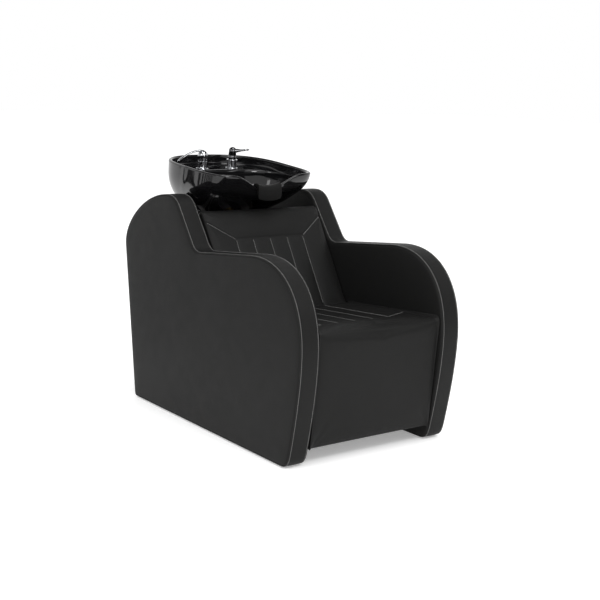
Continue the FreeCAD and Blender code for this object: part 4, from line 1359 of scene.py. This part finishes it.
def rear_panel():
    """The covered board that closes the back: soft edges and a low crown."""
    lean = (REAR_KNEE[0] - REAR_FOOT[0]) / (REAR_KNEE[1] - REAR_FOOT[1])
    knee_y = REAR_FOOT[0] + lean * (COVER_KNEE - REAR_FOOT[1]) - 6.0
    foot_y = knee_y - lean * (COVER_KNEE - COVER_LOW)
    middle_z = (COVER_LOW + COVER_KNEE) / 2
    middle_y = foot_y + lean * (middle_z - COVER_LOW)
    path = [(foot_y, COVER_LOW), (middle_y, middle_z), (knee_y, COVER_KNEE)] + COVER_BEND
    path = resample(smooth_curve(path), COVER_PITCH, closed=False)
    outward = -side_of(path)
    length = COVER_PITCH * (len(path) - 1)
    half = PANEL_IN - COVER_GAP
    rim = [half - d for d in (0.0, 0.8, 2.0, 4.0, 7.0, 12.0)]
    xs = rim + list(np.linspace(half - 20.0, -half + 20.0, 56)) + [-x for x in reversed(rim)]
    rows = []
    for k, (p, n) in enumerate(zip(path, outward)):
        along = COVER_PITCH * k
        row = []
        for x in xs:
            gap = min(half - abs(x), along, length - along)
            rise = -COVER_ROLL * math.exp(-gap / 3.0) + COVER_CROWN * (1 - math.exp(-gap / 60.0))
            rise += 0.3 * hash_wave(x, along, 4.2) * min(gap / 60.0, 1.0)
            q = p + n * rise
            row.append((x, q[0], q[1]))
        q = p - n * (COVER_T - 0.5)
        rows.append(row + [(x, q[0], q[1]) for x in (-half, half)])
    verts, faces = loft(rows)
    obj = piece("rear_cover_skin", verts, faces, LOOKS["black_vinyl"], "frame", ["rear_cover"],
                sharp=65)


# node, look, and a low and a high height, in metres
HOSES = (
    ("hot_hose", "braided_hose", 0.30, 0.84),
    ("cold_hose", "braided_hose", 0.30, 0.84),
    ("waste_hose", "grey_plastic", 0.24, 0.66),
    ("shower_hose", "braided_hose", 0.62, 0.84),
)


def hoses():
    """The supply, waste and shower hoses between the stand and the basin, copied from their CAD parts in
    their own looks.
    """
    for node, look, low, high in HOSES:
        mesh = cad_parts[node].data.copy()
        mesh.name = node + "_line"
        obj = linked(node + "_line", mesh)
        mesh.materials.clear()
        mesh.materials.append(LOOKS[look])
        smooth(mesh)
        mesh.polygons.foreach_set("material_index", [0] * len(mesh.polygons))
        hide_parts(node)
        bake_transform(obj)


def pull_out_hose():
    """The stretch of shower hose that comes out of the socket with the hand shower."""
    top = DECK_W + 16
    bottom = UNDER_W - 24
    verts, faces = loft([level_ring(TAP_X, TAP_S, RESERVE_R, w, 20) for w in np.linspace(bottom, top, 60)])
    obj = piece("shower_hose_reserve", to_world(verts), faces, LOOKS["braided_hose"], None)
    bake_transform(obj)


# ---------------------------------------------------------------- stage

FLOOR_GLOW = 0.30
STRIP_COUNT = 9
STRIP_FIRST = 122.0
STRIP_STEP = 6.5
STRIP_MIDDLE = 15.0
BASIN_Y = 0.35
# yaw, pitch and roll in radians, then the place in metres and the lens in millimetres
VIEW_TURN = (0.641816, 0.191137, 0.0319039)
VIEW_PLACE = (-2.49274, -3.44969, 1.27538)
VIEW_LENS = 68.83


def staged(name, data, place, target=None, axis="Z"):
    """An object of the set, its axis turned towards target if one is given."""
    obj = linked(name, data)
    obj.location = place
    if target is not None:
        obj.rotation_euler = (Vector(target) - Vector(place)).to_track_quat(axis, "Y").to_euler()
    return obj


def plane(name, width, depth, place, look, target=None):
    """A flat piece of the set."""
    mesh = bpy.data.meshes.new(name)
    w, d = width / 2, depth / 2
    mesh.from_pydata([(-w, -d, 0), (w, -d, 0), (w, d, 0), (-w, d, 0)], [], [(0, 1, 2, 3)])
    mesh.materials.append(look)
    return staged(name, mesh, place, target)


def dark_card(name, width, height, place, target=None):
    """A black card that only reflections see, which gives gloss something dark to show."""
    obj = plane(name, width, height, place, Mat(name, (0.01, 0.01, 0.01), 0.9).mat, target)
    obj.visible_camera = False
    obj.visible_shadow = False
    obj.visible_diffuse = False
    return obj


def area(name, place, target, width, height, power):
    light = bpy.data.lights.new(name, "AREA")
    light.shape = "RECTANGLE"
    light.size = width
    light.size_y = height
    light.energy = power
    staged(name, light, place, target, "-Z")


def floor():
    m = Mat("floor_paint", (0.9, 0.9, 0.9), 0.9, specular=0.2)
    m.bump(m.noise(3.0), 0.001, 0.05)
    m.put(m.bsdf["Emission Color"], (1, 1, 1, 1))
    m.put(m.bsdf["Emission Strength"], FLOOR_GLOW)
    plane("floor", 60, 60, (0, 0, 0), m.mat)


def floor_strips():
    """Wedges on the floor, radial from the basin, that its side wall shows as upright stripes."""
    for k in range(STRIP_COUNT):
        turn = math.radians(STRIP_FIRST + STRIP_STEP * k)
        place = (STRIP_MIDDLE * math.cos(turn), BASIN_Y + STRIP_MIDDLE * math.sin(turn), 0.002)
        strip = dark_card("floor_strip_%d" % k, 28.0, 1.7, place)
        strip.rotation_euler = (0, 0, turn)
        for corner in strip.data.vertices:
            corner.co.y *= 0.035 if corner.co.x < 0 else 1.0


def studio():
    scene = bpy.context.scene
    scene.view_settings.view_transform = "Standard"
    scene.world = bpy.data.worlds.new("studio")
    scene.world.use_nodes = True
    background = scene.world.node_tree.nodes["Background"].inputs
    background["Color"].default_value = (1, 1, 1, 1)
    background["Strength"].default_value = 1.0
    floor()
    floor_strips()
    dark_card("ceiling_card", 5.0, 5.0, (0.3, 0.6, 3.0), (0.3, 0.6, 0.0))
    dark_card("front_card", 3.0, 2.6, (2.0, -2.6, 1.3), (0, 0.2, 0.9))
    area("window", (-3.0, -1.2, 2.2), (0, 0.2, 0.7), 0.9, 1.6, 17)
    area("strip", (1.6, -2.4, 2.4), (0, 0.2, 0.9), 0.25, 1.6, 5)
    area("overhead", (0.1, -0.3, 2.8), (0.1, -0.2, 0.5), 1.2, 1.2, 24)
    area("inner_fill", (-0.30, -1.9, 1.7), (0.27, -0.3, 0.5), 0.5, 0.5, 14)
    scene.camera = camera()


def camera():
    yaw, pitch, roll = VIEW_TURN
    forward = Vector((math.sin(yaw) * math.cos(pitch), math.cos(yaw) * math.cos(pitch), -math.sin(pitch)))
    right = Vector((math.cos(yaw), -math.sin(yaw), 0))
    up = right.cross(forward)
    data = bpy.data.cameras.new("camera")
    data.lens = VIEW_LENS
    data.sensor_width = 36
    data.clip_end = 100
    obj = linked("camera", data)
    turned_right = right * math.cos(roll) + up * math.sin(roll)
    turned_up = up * math.cos(roll) - right * math.sin(roll)
    place = Matrix((turned_right, turned_up, -forward)).transposed().to_4x4()
    place.translation = VIEW_PLACE
    obj.matrix_world = place
    return obj


dress_nodes()
panels()
seats()
basin()
neck_rest()
taps()
rear_panel()
hoses()
pull_out_hose()
studio()
